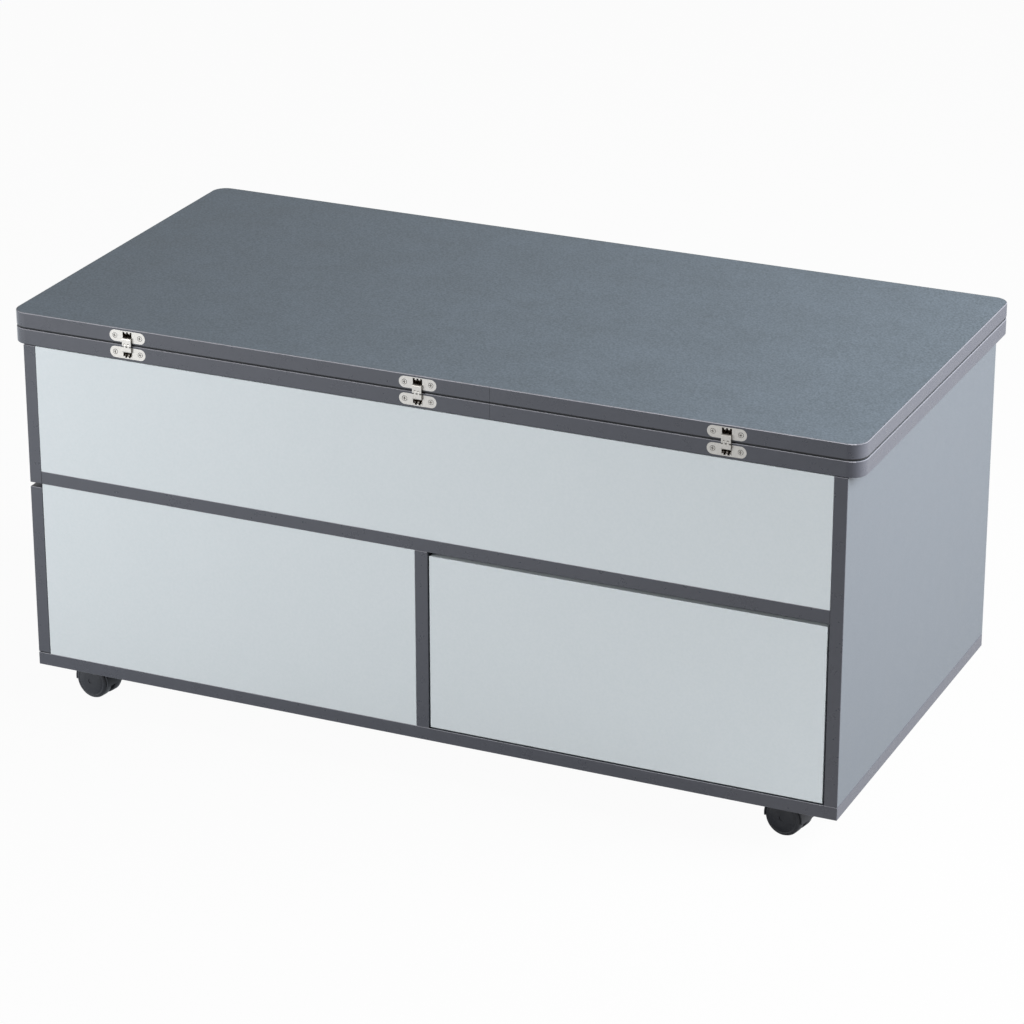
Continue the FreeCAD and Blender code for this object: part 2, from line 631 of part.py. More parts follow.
base_rivets = []
top_rivets = []
strut_pins = []
for name, side in (("left", -1), ("right", 1)):
    piece(f"lift_base_bracket_{name}", bracket(
        side, MAIN_Y, UPPER, base_plate, base_holes, "0", (FOOT_FRONT, FOOT_BACK)))
    piece(f"lift_top_bracket_{name}", bracket(
        side, TOP_Y, MAIN_Z, top_plate, top_holes, TOP_RISE, (FOOT_FRONT, FOOT_BACK)))
    piece(f"lift_main_arm_{name}", arm(side, MAIN_ARM, TOP_Y, MAIN_Z, (f"{ARM} - strut_reach",)))
    piece(f"lift_follower_arm_{name}", arm(
        side, FOLLOWER_ARM, f"{TOP_Y} - pivot_step", f"{MAIN_Z} - pivot_drop", ()))
    follower = f"{MAIN_Z} - pivot_drop"
    base_rivets.append(rivet(side, MAIN_Y, MAIN_Z, MAIN_ARM, MAIN_GRIP))
    base_rivets.append(rivet(side, f"{MAIN_Y} - pivot_step", follower, FOLLOWER_ARM, FOLLOWER_GRIP))
    base_rivets.append(stepped_pin(side, MAIN_Y, f"{MAIN_Z} - strut_reach", (
        ("0", "lift_plate", "pivot_radius"),
        ("lift_plate", f"{STRUT_NEAR} - lift_plate", "strut_pin + 2"),
        (STRUT_NEAR, f"{STRUT_FAR} - {STRUT_NEAR}", "strut_pin"),
        (STRUT_FAR, "rivet_head_thick", "strut_pin + 2"))))
    top_rivets.append(rivet(side, TOP_Y, MAIN_Z, MAIN_ARM, MAIN_GRIP))
    top_rivets.append(rivet(side, f"{TOP_Y} - pivot_step", follower, FOLLOWER_ARM, FOLLOWER_GRIP))
    arm_face = f"({MAIN_ARM} + arm_thick)"
    strut_pins.append(stepped_pin(side, f"{MAIN_Y} - strut_reach", MAIN_Z, (
        (MAIN_ARM, "arm_thick", "pivot_radius"),
        (arm_face, f"{STRUT_NEAR} - {arm_face}", "strut_pin + 2"),
        (STRUT_NEAR, f"{STRUT_FAR} - {STRUT_NEAR}", "strut_pin"),
        (STRUT_FAR, "rivet_head_thick", "strut_pin + 2"))))

piece("lift_base_rivets", together(base_rivets))
piece("lift_top_rivets", together(top_rivets))
piece("lift_strut_pins", together(strut_pins))

BAR_X = f"({LIFT_X} - {MAIN_ARM} - arm_thick)"
piece("lift_cross_bar", cylinder(
    "x", (f"-{BAR_X}", f"{MAIN_Y} - bar_reach", MAIN_Z), "bar_radius", f"2 * {BAR_X}"))

# Gas struts along Z with an eye across X: they lie at 45 degrees while the table is closed, because
# both ends are the same distance from the main pivot, one below it and one in front of it
STRUT_LENGTH = "(strut_reach * sqrt(2))"
BARREL_START = "(strut_eye + strut_radius / 2)"
BARREL_END = f"({STRUT_LENGTH} - rod_shown)"


def strut_eye():
    """Returns the round eye at the end of a strut."""
    return cylinder("x", ("-strut_eye_thick / 2", "0", "0"), "strut_eye", "strut_eye_thick")


def strut_bore():
    """Returns the hole through a strut's eye."""
    return cylinder("x", ("-strut_eye_thick", "0", "0"), "strut_pin + running_clear", "2 * strut_eye_thick")


barrel = fused([strut_eye(), cylinder("z", ("0", "0", "0"), "strut_eye_thick / 3", BARREL_START),
                cylinder("z", ("0", "0", BARREL_START), "strut_radius", f"{BARREL_END} - {BARREL_START}")])
barrel_bore = cylinder("z", ("0", "0", "rod_start - 2"), "rod_radius + running_clear", BARREL_END)
strut_cylinder = cut(barrel, [strut_bore(), barrel_bore])
rod = fused([strut_eye(), cylinder("z", ("0", "0", f"rod_start - {STRUT_LENGTH}"), "rod_radius",
                                   f"{STRUT_LENGTH} - rod_start")])
strut_rod = cut(rod, [strut_bore()])
strut_turn = Rotation(Vector(1, 0, 0), 45)
lower_ends = []
upper_ends = []
for side in ("-1", "1"):
    strut_x = f"{side} * ({LIFT_X} - {STRUT})"
    lower_ends.append(Placement(at(strut_x, MAIN_Y, f"{MAIN_Z} - strut_reach"), strut_turn))
    upper_ends.append(Placement(at(strut_x, f"{MAIN_Y} - strut_reach", MAIN_Z), strut_turn))
piece("strut_cylinders", copies(strut_cylinder, lower_ends))
piece("strut_rods", copies(strut_rod, upper_ends))

base_screws = [Placement(at(x, y, f"{UPPER} + lift_plate"), INTO_Z_DOWN) for x, y in base_screw_spots]
piece("lift_top_screws", copies(plain_screw, [
    Placement(at(x, y, f"{LOWER_LEAF} - lift_plate"), INTO_Z_UP) for x, y in top_screw_spots]))

# Leaves with their edge bands


def rounded(solid, radius):
    """Returns a board with its four upright edges rounded."""
    doc.recompute()
    result = doc.addObject("Part::Fillet", "Rounded")
    result.Base = solid
    edges = enumerate(solid.Shape.Edges, start=1)
    upright = [i for i, edge in edges if edge.BoundBox.DiagonalLength - edge.BoundBox.ZLength < 0.001]
    result.Edges = [(i, mm(radius), mm(radius)) for i in upright]
    return result


def blank(inset, z):
    """Returns a leaf-shaped board, smaller by an inset all round."""
    solid = box((f"-leaf_length / 2 + {inset}", f"-leaf_width / 2 + {inset}", z),
                (f"leaf_length - 2 * {inset}", f"leaf_width - 2 * {inset}", "leaf_thick"))
    return rounded(solid, f"leaf_corner - {inset}")


def chamfered_rim(solid):
    """Returns the blank with its top and bottom rims chamfered."""
    doc.recompute()
    result = doc.addObject("Part::Chamfer", "Rim")
    result.Base = solid
    arris = mm("band_arris")
    level = [i for i, edge in enumerate(solid.Shape.Edges, start=1) if edge.BoundBox.ZLength < 0.1]
    result.Edges = [(i, arris, arris) for i in level]
    return result


# Concealed hinges. They are drawn about the fold axis, the X axis of their own frame, with the
# pieces of the lower leaf below it; turned half round about Y, the same pieces fit the upper leaf.
hinge_places = [at(f"{i} * hinge_pitch", FOLD_Y, FOLD_Z) for i in (-1, 0, 1)]
lower_hinges = [Placement(place, Rotation()) for place in hinge_places]
upper_hinges = [Placement(place, Rotation(Vector(0, 1, 0), 180)) for place in hinge_places]
POCKET_LOW = f"(-{CUP_CENTRE} - cup_height / 2 + pocket_wall)"


def cup_block(clear, depth):
    """Returns the block of a cup, or with a clearance the mortise that takes it."""
    body = new_body(("0", "fold_ahead", f"-{CUP_CENTRE}"))
    sketch = new_sketch(body, "XZ_Plane")
    span = "(cup_length - cup_height)"
    slot(sketch, f"-{span} / 2", span, f"cup_height / 2 + {clear}")
    pad(body, sketch, depth, backwards=True)
    return body


def pocket(top):
    """Returns the room that the links of one leaf swing in."""
    return box((f"-{POCKET_WIDTH} / 2", "fold_ahead - 1", POCKET_LOW),
               (POCKET_WIDTH, "pocket_depth + 1", f"{top} - {POCKET_LOW}"))


def countersink(x):
    """Returns the seat of a countersunk screw."""
    seat = doc.addObject("Part::Cone", "Seat")
    bind(seat, "Radius1", "screw_head + seat_clear")
    bind(seat, "Radius2", PILOT)
    bind(seat, "Height", "screw_head_thick")
    seat.Placement = Placement(Vector(), TURNS["y"])
    for name, text in zip("xyz", (x, "fold_ahead", f"-{CUP_CENTRE}")):
        bind(seat, f"Placement.Base.{name}", text)
    return seat


def screw_holes(start, length):
    """Returns the two screw holes of a hinge half."""
    return [cylinder("y", (f"{i} * screw_reach", start, f"-{CUP_CENTRE}"), PILOT, length) for i in (-1, 1)]


PIN_LENGTH = f"({POCKET_WIDTH} + 4 * finger)"
pin_bore = cylinder("x", (f"-{PIN_LENGTH} / 2", "link_depth", "-link_rise"),
                    "link_pin + running_clear", PIN_LENGTH)


def cup(ribs):
    """Returns a cup whose pocket has ribs in the slices where its own link has no fingers."""
    bars = [
        box((f"{index} * (finger + finger_gap) - finger / 2", f"fold_ahead + {sunk}", POCKET_LOW),
            ("finger", f"pocket_depth - {sunk}", height))
        for index in ribs for sunk, height in (("rib_sunk", "rib_height"), ("0", "rib_foot"))
    ]
    room = cut(pocket("0"), bars)
    return cut(cup_block("0", "cup_depth"), [
        room, countersink("-screw_reach"), countersink("screw_reach"), pin_bore,
        *screw_holes("fold_ahead", "cup_depth")])


piece("hinge_lower_cups", copies(cup((-2, 0, 2)), lower_hinges))
piece("hinge_upper_cups", copies(cup((-1, 1)), upper_hinges))

hinge_pin = cylinder("x", (f"-{PIN_LENGTH} / 2", "link_depth", "-link_rise"), "link_pin", PIN_LENGTH)
piece("hinge_lower_pins", copies(hinge_pin, lower_hinges))
piece("hinge_upper_pins", copies(hinge_pin, upper_hinges))

link_outline = (
    ("-link_bulge", "-(link_rise + link_tail)"),
    ("link_depth + link_eye / 2", "-(link_rise + link_tail)"),
    ("link_depth + link_eye + link_pin / 2", "-(link_rise + link_eye / 2)"),
    ("2 * link_depth + link_eye", "-link_eye / 2"),
    ("2 * link_depth + link_eye", "link_tip - link_eye / 2"),
    ("2 * link_depth", "link_tip"),
    ("-link_bulge", "link_tip"),
)


plate_outline = (
    ("-link_bulge", "-(link_rise + link_tail)"),
    ("link_plate - link_bulge", "-(link_rise + link_tail)"),
    ("link_plate - link_bulge", "-(link_tip + finger_gap)"),
    ("-link_bulge", "-(link_tip + finger_gap)"),
)
FIVE_FINGERS = "(5 * finger + 4 * finger_gap)"


def link(slices):
    """Returns a link: fingers in the given slices of the pocket and a plate in front that joins them."""
    fingers = []
    for index in slices:
        body = new_body((f"{index} * (finger + finger_gap) - finger / 2", "0", "0"))
        sketch = new_sketch(body, "YZ_Plane")
        outline(sketch, link_outline)
        hole(sketch, "link_depth", "-link_rise", "link_pin + running_clear")
        hole(sketch, "2 * link_depth", "0", "link_pin + running_clear")
        pad(body, sketch, "finger")
        round_edges(body, "link_bulge * 0.9", lambda edge: edge.BoundBox.XLength > 0.5
                    and edge.BoundBox.YMax < -mm("link_bulge") + 0.1)
        fingers.append(body)
    joining = new_body((f"-{FIVE_FINGERS} / 2", "0", "0"))
    sketch = new_sketch(joining, "YZ_Plane")
    outline(sketch, plate_outline)
    pad(joining, sketch, FIVE_FINGERS)
    round_edges(joining, "link_bulge * 0.9", lambda edge: edge.BoundBox.XLength > 0.5
                and edge.BoundBox.YMax < -mm("link_bulge") + 0.1
                and edge.BoundBox.ZMax < -mm("link_rise"))
    return fused(fingers + [joining])


piece("hinge_lower_links", copies(link((-1, 1)), lower_hinges))
piece("hinge_upper_links", copies(link((-2, 0, 2)), upper_hinges))
link_pin = cylinder("x", (f"-{FIVE_FINGERS} / 2", "2 * link_depth", "0"), "link_pin", FIVE_FINGERS)
piece("hinge_centre_pins", copies(link_pin, lower_hinges))

screw_spots = [
    Placement(at(f"{i} * screw_reach", "fold_ahead", f"-{CUP_CENTRE}"), Rotation()) for i in (-1, 1)
]
for name, hinges in (("lower", lower_hinges), ("upper", upper_hinges)):
    places = [hinge.multiply(spot) for hinge in hinges for spot in screw_spots]
    piece(f"hinge_{name}_screws", copies(hinge_screw, places))

mortise = together([
    cup_block("cup_clear", "cup_depth + cup_clear"), pocket("0"),
    *screw_holes("fold_ahead", "screw_length + 1")])
leaves = (("lower", LOWER_LEAF, lower_hinges), ("upper", UPPER_LEAF, upper_hinges))
for name, z, hinges in leaves:
    mortises = copies(mortise, hinges)
    tools = [mortises]
    if name == "lower":
        tools += pilots(top_screw_spots, LOWER_LEAF, SCREW_IN_FLANGE)
    core = blank("band", z)
    piece(f"{name}_leaf", cut(core, tools))
    slit = box(("band_slit_at", "-leaf_width / 2 - band", z), ("band_slit", "3 * band", "leaf_thick"))
    piece(f"{name}_edge_band", cut(chamfered_rim(blank("0", z)), [core, mortises, slit]))

# Casters, drawn with the kingpin on the Z axis

HOOD_IN = "(wheel_radius + hood_clear)"
HOOD_OUT = "(wheel_radius + hood_clear + hood_wall)"
CASTER_HALF = "(wheel_gap / 2 + wheel_width)"
HOOD_TOP = f"({PLATE_Z} - hood_gap)"
WEB = "(wheel_gap - 2 * web_clear)"


def across_caster(radius, width):
    """Returns a cylinder on the axle, centred between the wheels."""
    return cylinder("y", (AXLE_X, f"-({width}) / 2", "wheel_radius"), radius, width)


wheel_room = across_caster(HOOD_IN, f"3 * {CASTER_HALF}")
cover = cut(across_caster(HOOD_OUT, f"2 * ({CASTER_HALF} - hood_set_in)"), [wheel_room])
web = across_caster(HOOD_OUT, WEB)
below = box((f"{AXLE_X} - 2 * wheel_radius", f"-2 * {CASTER_HALF}", "-wheel_radius"),
            ("4 * wheel_radius", f"4 * {CASTER_HALF}", "wheel_radius + hood_foot"))
upper_half = cut(fused([cover, web]), [below])
hub = across_caster("wheel_radius * 0.7", WEB)
boss_z = f"(wheel_radius + 0.6 * {HOOD_IN})"
boss = cut(cylinder("z", ("0", "0", boss_z), "hood_boss", f"{HOOD_TOP} - {boss_z}"), [wheel_room])
hood = cut(fused([upper_half, hub, boss]), [
    across_caster("axle_radius + running_clear", "2 * wheel_gap"),
    cylinder("z", ("0", "0", f"{HOOD_TOP} - kingpin_length"), "kingpin_radius + running_clear",
             "2 * kingpin_length")])

wheel = new_body((AXLE_X, "0", "wheel_radius"))
wheel_sketch = new_sketch(wheel, "XY_Plane")
INSIDE = "(wheel_gap / 2)"
OUTSIDE = "(wheel_gap / 2 + wheel_width)"
outline(wheel_sketch, (
    ("axle_radius + running_clear", INSIDE),
    ("wheel_radius - 1", INSIDE),
    ("wheel_radius", f"{INSIDE} + 1"),
    ("wheel_radius", f"{OUTSIDE} - 4"),
    ("wheel_radius - 0.8", f"{OUTSIDE} - 2.2"),
    ("wheel_radius - 2.6", f"{OUTSIDE} - 1"),
    ("wheel_radius - 4", f"{OUTSIDE} - 0.7"),
    ("wheel_radius - 4.6", f"{OUTSIDE} - 1.3"),
    ("wheel_radius - 5.2", f"{OUTSIDE} - 0.6"),
    ("wheel_radius - 12", OUTSIDE),
    ("axle_radius + running_clear", OUTSIDE),
))
revolve(wheel, wheel_sketch)
axle = across_caster("axle_radius", f"2 * {CASTER_HALF} - 1")
turned_round = Placement(at(f"2 * {AXLE_X}", "0", "0"), Rotation(Vector(0, 0, 1), 180))

kingpin_foot = f"{HOOD_TOP} - kingpin_length + hood_gap"
kingpin = cylinder("z", ("0", "0", kingpin_foot), "kingpin_radius", "kingpin_length")
side_of_plate = "-caster_plate / 2"
plate_size = ("caster_plate", "caster_plate", "caster_plate_thick")
plate_box = box((side_of_plate, side_of_plate, PLATE_Z), plate_size)
plate_blank = rounded(plate_box, "hood_boss / 3")
plate_holes = [
    cylinder("z", (f"{i} * {PLATE_SCREW}", f"{j} * {PLATE_SCREW}", f"{PLATE_Z} - 1"), PILOT,
             "caster_plate_thick + 2")
    for i in (-1, 1) for j in (-1, 1)
]
plate = cut(fused([plate_blank, kingpin]), plate_holes)
wheelset = together([copies(wheel, [Placement(), turned_round]), axle])

stance = Rotation(Vector(0, 0, 1), -mm("caster_turn"))
for name, (x, y) in caster_spots.items():
    spot = Placement(at(x, y, "0"), stance)
    piece(f"caster_{name}_hood", copies(hood, [spot]))
    piece(f"caster_{name}_wheels", copies(wheelset, [spot]))
plate_spots = [Placement(at(x, y, "0"), Rotation()) for x, y in caster_spots.values()]
piece("caster_plates", copies(plate, plate_spots))
caster_screws = [Placement(at(x, y, PLATE_Z), INTO_Z_UP) for x, y in caster_screw_spots]
piece("carcass_screws", copies(plain_screw, base_screws + caster_screws))

# Files

doc.recompute()
for item in doc.Objects:
    if "Invalid" in item.State or "Error" in item.State:
        raise RuntimeError(f"{item.Label} could not be built: {item.State}")
for item in pieces:
    if item.Shape.isNull() or not item.Shape.isValid() or not item.Shape.Solids:
        raise RuntimeError(f"{item.Label} has no valid shape")

os.makedirs("parts", exist_ok=True)
for item in pieces:
    item.Shape.exportStep(f"parts/{item.Label}.step")
print(f"{len(pieces)} pieces written")
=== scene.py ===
import json
import logging
import math
from collections.abc import Callable
from dataclasses import dataclass, field
from enum import Enum

import bmesh
import bpy
from mathutils import Matrix, Vector


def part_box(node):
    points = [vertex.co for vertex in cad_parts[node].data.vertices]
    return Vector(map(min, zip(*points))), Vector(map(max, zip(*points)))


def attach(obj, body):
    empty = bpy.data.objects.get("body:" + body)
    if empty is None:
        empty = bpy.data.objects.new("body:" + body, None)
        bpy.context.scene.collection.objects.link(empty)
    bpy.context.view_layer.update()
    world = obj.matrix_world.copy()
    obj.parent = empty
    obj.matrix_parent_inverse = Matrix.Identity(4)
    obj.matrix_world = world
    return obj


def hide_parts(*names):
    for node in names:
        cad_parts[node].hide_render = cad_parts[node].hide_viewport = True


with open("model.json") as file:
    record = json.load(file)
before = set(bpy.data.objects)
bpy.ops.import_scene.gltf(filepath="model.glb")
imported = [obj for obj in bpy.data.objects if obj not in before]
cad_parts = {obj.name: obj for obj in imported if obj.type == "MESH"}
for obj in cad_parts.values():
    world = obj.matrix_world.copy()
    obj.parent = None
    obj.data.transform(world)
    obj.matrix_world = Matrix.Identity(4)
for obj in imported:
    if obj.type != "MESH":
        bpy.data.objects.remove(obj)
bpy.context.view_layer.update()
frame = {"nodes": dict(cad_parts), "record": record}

log = logging.getLogger("table")

MM = 0.001

# How the solids' meshes are cleaned: vertices this close are one, faces this level are one, edges above
# the crease stay sharp, and many-sided faces above the area are drawn flat
MERGE_MM = 0.002
LEVEL_DEGREES = 0.05
CREASE_DEGREES = 32.0
FLAT_AREA_MM2 = 20.0
FLAT_CORNERS = 4

# How far a face's normal leans: square on to an axis, level enough to be a face, or slanted as an arris is
SQUARE_ON = 0.9
LEVEL = 0.95
SLANTED = 0.3
FORWARD = 0.6

# The part of a noise texture's range that most of its values lie in
NOISE_LOW = 0.3
NOISE_HIGH = 0.7

# The sockets of a Mix node that mixes two colours
FACTOR = 0
FIRST = 6
SECOND = 7
MIXED = 2


def linear(colour: str) -> tuple[float, float, float, float]:
    """Turns an sRGB hex colour into linear light.

    Args:
        colour: The colour as "#rrggbb".

    Returns:
        Red, green, blue and an alpha of 1.
    """
    channels = [int(colour[i:i + 2], 16) / 255 for i in (1, 3, 5)]
    light = [c / 12.92 if c <= 0.04045 else ((c + 0.055) / 1.055) ** 2.4 for c in channels]
    return light[0], light[1], light[2], 1.0


def add_node(
        tree: bpy.types.NodeTree, kind: str, inputs: dict | None = None, **settings: object
) -> bpy.types.Node:
    """Adds a node with its settings, values and links.

    Args:
        tree: The tree that gets the node.
        kind: The node's type name.
        inputs: For each input, by name or number, a socket to link or a value to set.
        **settings: Properties of the node itself.

    Returns:
        The new node.
    """
    made = tree.nodes.new(kind)
    for name, value in settings.items():
        setattr(made, name, value)
    for key, value in (inputs or {}).items():
        if isinstance(value, bpy.types.NodeSocket):
            tree.links.new(value, made.inputs[key])
        else:
            made.inputs[key].default_value = value
    return made


# Finishes


def new_tree(name: str) -> tuple[bpy.types.Material, bpy.types.NodeTree]:
    """Makes an empty node material.

    Args:
        name: The material's name.

    Returns:
        The material and its cleared tree.
    """
    made = bpy.data.materials.new(name)
    made.use_nodes = True
    made.node_tree.nodes.clear()
    return made, made.node_tree


@dataclass(frozen=True)
class Wear:
    """How hands and feet rub an edge: how far in from it, in patches how wide, and from which bend on."""

    reach_mm: float = 0.7
    patch_mm: float = 9.0
    starts: float = 0.98
    full: float = 0.8


def rubbed_edges(
        tree: bpy.types.NodeTree, place: bpy.types.NodeSocket, amount: float, wear: Wear = Wear()
) -> bpy.types.NodeSocket:
    """Finds where hands and feet have rubbed a piece: in patches along its edges.

    Args:
        tree: The material's tree.
        place: The coordinates that the patches lie on.
        amount: How far the rubbing goes, from 0 to 1.
        wear: Where on the edges it shows.

    Returns:
        A socket that is 0 on the faces and rises towards the edges.
    """
    eased = add_node(tree, "ShaderNodeBevel", {"Radius": wear.reach_mm * MM}, samples=4)
    facing = add_node(tree, "ShaderNodeNewGeometry")
    alike = add_node(tree, "ShaderNodeVectorMath", {
        0: eased.outputs["Normal"], 1: facing.outputs["Normal"]}, operation="DOT_PRODUCT")
    edge = add_node(tree, "ShaderNodeMapRange", {
        "Value": alike.outputs["Value"], "From Min": wear.starts, "From Max": wear.full, "To Max": amount})
    patches = add_node(tree, "ShaderNodeTexNoise", {
        "Vector": place, "Scale": 1 / (wear.patch_mm * MM), "Detail": 3.0})
    rubbed = add_node(tree, "ShaderNodeMath", {
        0: edge.outputs["Result"], 1: patches.outputs["Fac"]}, operation="MULTIPLY")
    return rubbed.outputs[0]


@dataclass(frozen=True)
class Melamine:
    """Chipboard faced with printed melamine paper, pressed against an embossed plate.

    The print gives a fleck and a slow cloud of tone, and the plate a fine pebble with a satin sheen. The
    real pebble is about half a millimetre; it is drawn coarser, so that it shows in the render.
    """

    name: str
    colour: str
    fleck: str
    worn: str
    roughness: float
    pebble_mm: float
    pebble_depth_mm: float
    gloss: float = 0.25
    cloud_mm: float = 60.0
    cloud: float = 0.25
    fleck_low: float = 0.32
    fleck_high: float = 0.68
    smoother: float = 0.03
    rougher: float = 0.04
    rubbing: float = 0.5

    def material(self) -> bpy.types.Material:
        """Returns the board's face material."""
        made, tree = new_tree(self.name)
        place = add_node(tree, "ShaderNodeTexCoord").outputs["Object"]
        pebble = add_node(tree, "ShaderNodeTexNoise", {
            "Vector": place, "Scale": 1 / (self.pebble_mm * MM), "Detail": 2.0, "Roughness": 0.55})
        cloud = add_node(tree, "ShaderNodeTexNoise", {
            "Vector": place, "Scale": 1 / (self.cloud_mm * MM), "Detail": 4.0, "Roughness": 0.6})
        flecks = add_node(tree, "ShaderNodeMapRange", {
            "Value": pebble.outputs["Fac"], "From Min": self.fleck_low, "From Max": self.fleck_high,
            "To Max": 1 - self.cloud})
        drift = add_node(tree, "ShaderNodeMapRange", {
            "Value": cloud.outputs["Fac"], "From Min": NOISE_LOW, "From Max": NOISE_HIGH,
            "To Max": self.cloud})
        print_tone = add_node(tree, "ShaderNodeMath", {
            0: flecks.outputs["Result"], 1: drift.outputs["Result"]}, operation="ADD")
        tint = add_node(tree, "ShaderNodeMix", {
            FACTOR: print_tone.outputs[0], FIRST: linear(self.colour), SECOND: linear(self.fleck)},
            data_type="RGBA")
        rubbed = add_node(tree, "ShaderNodeMix", {
            FACTOR: rubbed_edges(tree, place, self.rubbing), FIRST: tint.outputs[MIXED],
            SECOND: linear(self.worn)}, data_type="RGBA")
        gloss = add_node(tree, "ShaderNodeMapRange", {
            "Value": cloud.outputs["Fac"], "From Min": NOISE_LOW, "From Max": NOISE_HIGH,
            "To Min": self.roughness - self.smoother, "To Max": self.roughness + self.rougher})
        bump = add_node(tree, "ShaderNodeBump", {
            "Height": pebble.outputs["Fac"], "Distance": self.pebble_depth_mm * MM, "Strength": 0.6})
        shader = add_node(tree, "ShaderNodeBsdfPrincipled", {
            "Base Color": rubbed.outputs[MIXED], "Roughness": gloss.outputs["Result"],
            "Normal": bump.outputs["Normal"], "IOR": 1.5, "Specular IOR Level": self.gloss})
        add_node(tree, "ShaderNodeOutputMaterial", {"Surface": shader.outputs["BSDF"]})
        return made


@dataclass(frozen=True)
class Moulded:
    """Extruded or moulded plastic, rubber and baked powder paint.

    One colour right through with a faint mottle, a skin like orange peel and paler rubbed edges.
    """

    name: str
    colour: str
    shade: str
    worn: str
    roughness: float
    peel_mm: float = 1.2
    peel_depth_mm: float = 0.02
    gloss: float = 0.5
    mottle_mm: float = 14.0
    unevenness: float = 0.05
    rubbing: float = 0.5

    def material(self) -> bpy.types.Material:
        """Returns the plastic's material."""
        made, tree = new_tree(self.name)
        place = add_node(tree, "ShaderNodeTexCoord").outputs["Object"]
        mottle = add_node(tree, "ShaderNodeTexNoise", {
            "Vector": place, "Scale": 1 / (self.mottle_mm * MM), "Detail": 4.0, "Roughness": 0.65})
        peel = add_node(tree, "ShaderNodeTexNoise", {
            "Vector": place, "Scale": 1 / (self.peel_mm * MM), "Detail": 1.0})
        tint = add_node(tree, "ShaderNodeMix", {
            FACTOR: mottle.outputs["Fac"], FIRST: linear(self.colour), SECOND: linear(self.shade)},
            data_type="RGBA")
        rubbed = add_node(tree, "ShaderNodeMix", {
            FACTOR: rubbed_edges(tree, place, self.rubbing), FIRST: tint.outputs[MIXED],
            SECOND: linear(self.worn)}, data_type="RGBA")
        gloss = add_node(tree, "ShaderNodeMapRange", {
            "Value": mottle.outputs["Fac"], "From Min": NOISE_LOW, "From Max": NOISE_HIGH,
            "To Min": self.roughness - self.unevenness, "To Max": self.roughness + self.unevenness})
        bump = add_node(tree, "ShaderNodeBump", {
            "Height": peel.outputs["Fac"], "Distance": self.peel_depth_mm * MM, "Strength": 0.5})
        shader = add_node(tree, "ShaderNodeBsdfPrincipled", {
            "Base Color": rubbed.outputs[MIXED], "Roughness": gloss.outputs["Result"],
            "Normal": bump.outputs["Normal"], "IOR": 1.48, "Specular IOR Level": self.gloss})
        add_node(tree, "ShaderNodeOutputMaterial", {"Surface": shader.outputs["BSDF"]})
        return made


@dataclass(frozen=True)
class Plated:
    """Plated or polished metal: mirror-like, with faint handling marks that break up the gloss."""

    name: str
    colour: str
    shade: str
    worn: str
    roughness: float
    mark_mm: float = 4.0
    unevenness: float = 0.08
    smoothest: float = 0.02
    rubbing: float = 0.8

    def material(self) -> bpy.types.Material:
        """Returns the metal's material."""
        made, tree = new_tree(self.name)
        place = add_node(tree, "ShaderNodeTexCoord").outputs["Object"]
        marks = add_node(tree, "ShaderNodeTexNoise", {
            "Vector": place, "Scale": 1 / (self.mark_mm * MM), "Detail": 5.0, "Roughness": 0.7})
        tint = add_node(tree, "ShaderNodeMix", {
            FACTOR: marks.outputs["Fac"], FIRST: linear(self.colour), SECOND: linear(self.shade)},
            data_type="RGBA")
        rubbed = add_node(tree, "ShaderNodeMix", {
            FACTOR: rubbed_edges(tree, place, self.rubbing), FIRST: tint.outputs[MIXED],
            SECOND: linear(self.worn)}, data_type="RGBA")
        gloss = add_node(tree, "ShaderNodeMapRange", {
            "Value": marks.outputs["Fac"], "From Min": NOISE_LOW, "From Max": NOISE_HIGH,
            "To Min": max(self.roughness - self.unevenness, self.smoothest),
            "To Max": self.roughness + self.unevenness})
        shader = add_node(tree, "ShaderNodeBsdfPrincipled", {
            "Base Color": rubbed.outputs[MIXED], "Roughness": gloss.outputs["Result"], "Metallic": 1.0})
        add_node(tree, "ShaderNodeOutputMaterial", {"Surface": shader.outputs["BSDF"]})
        return made


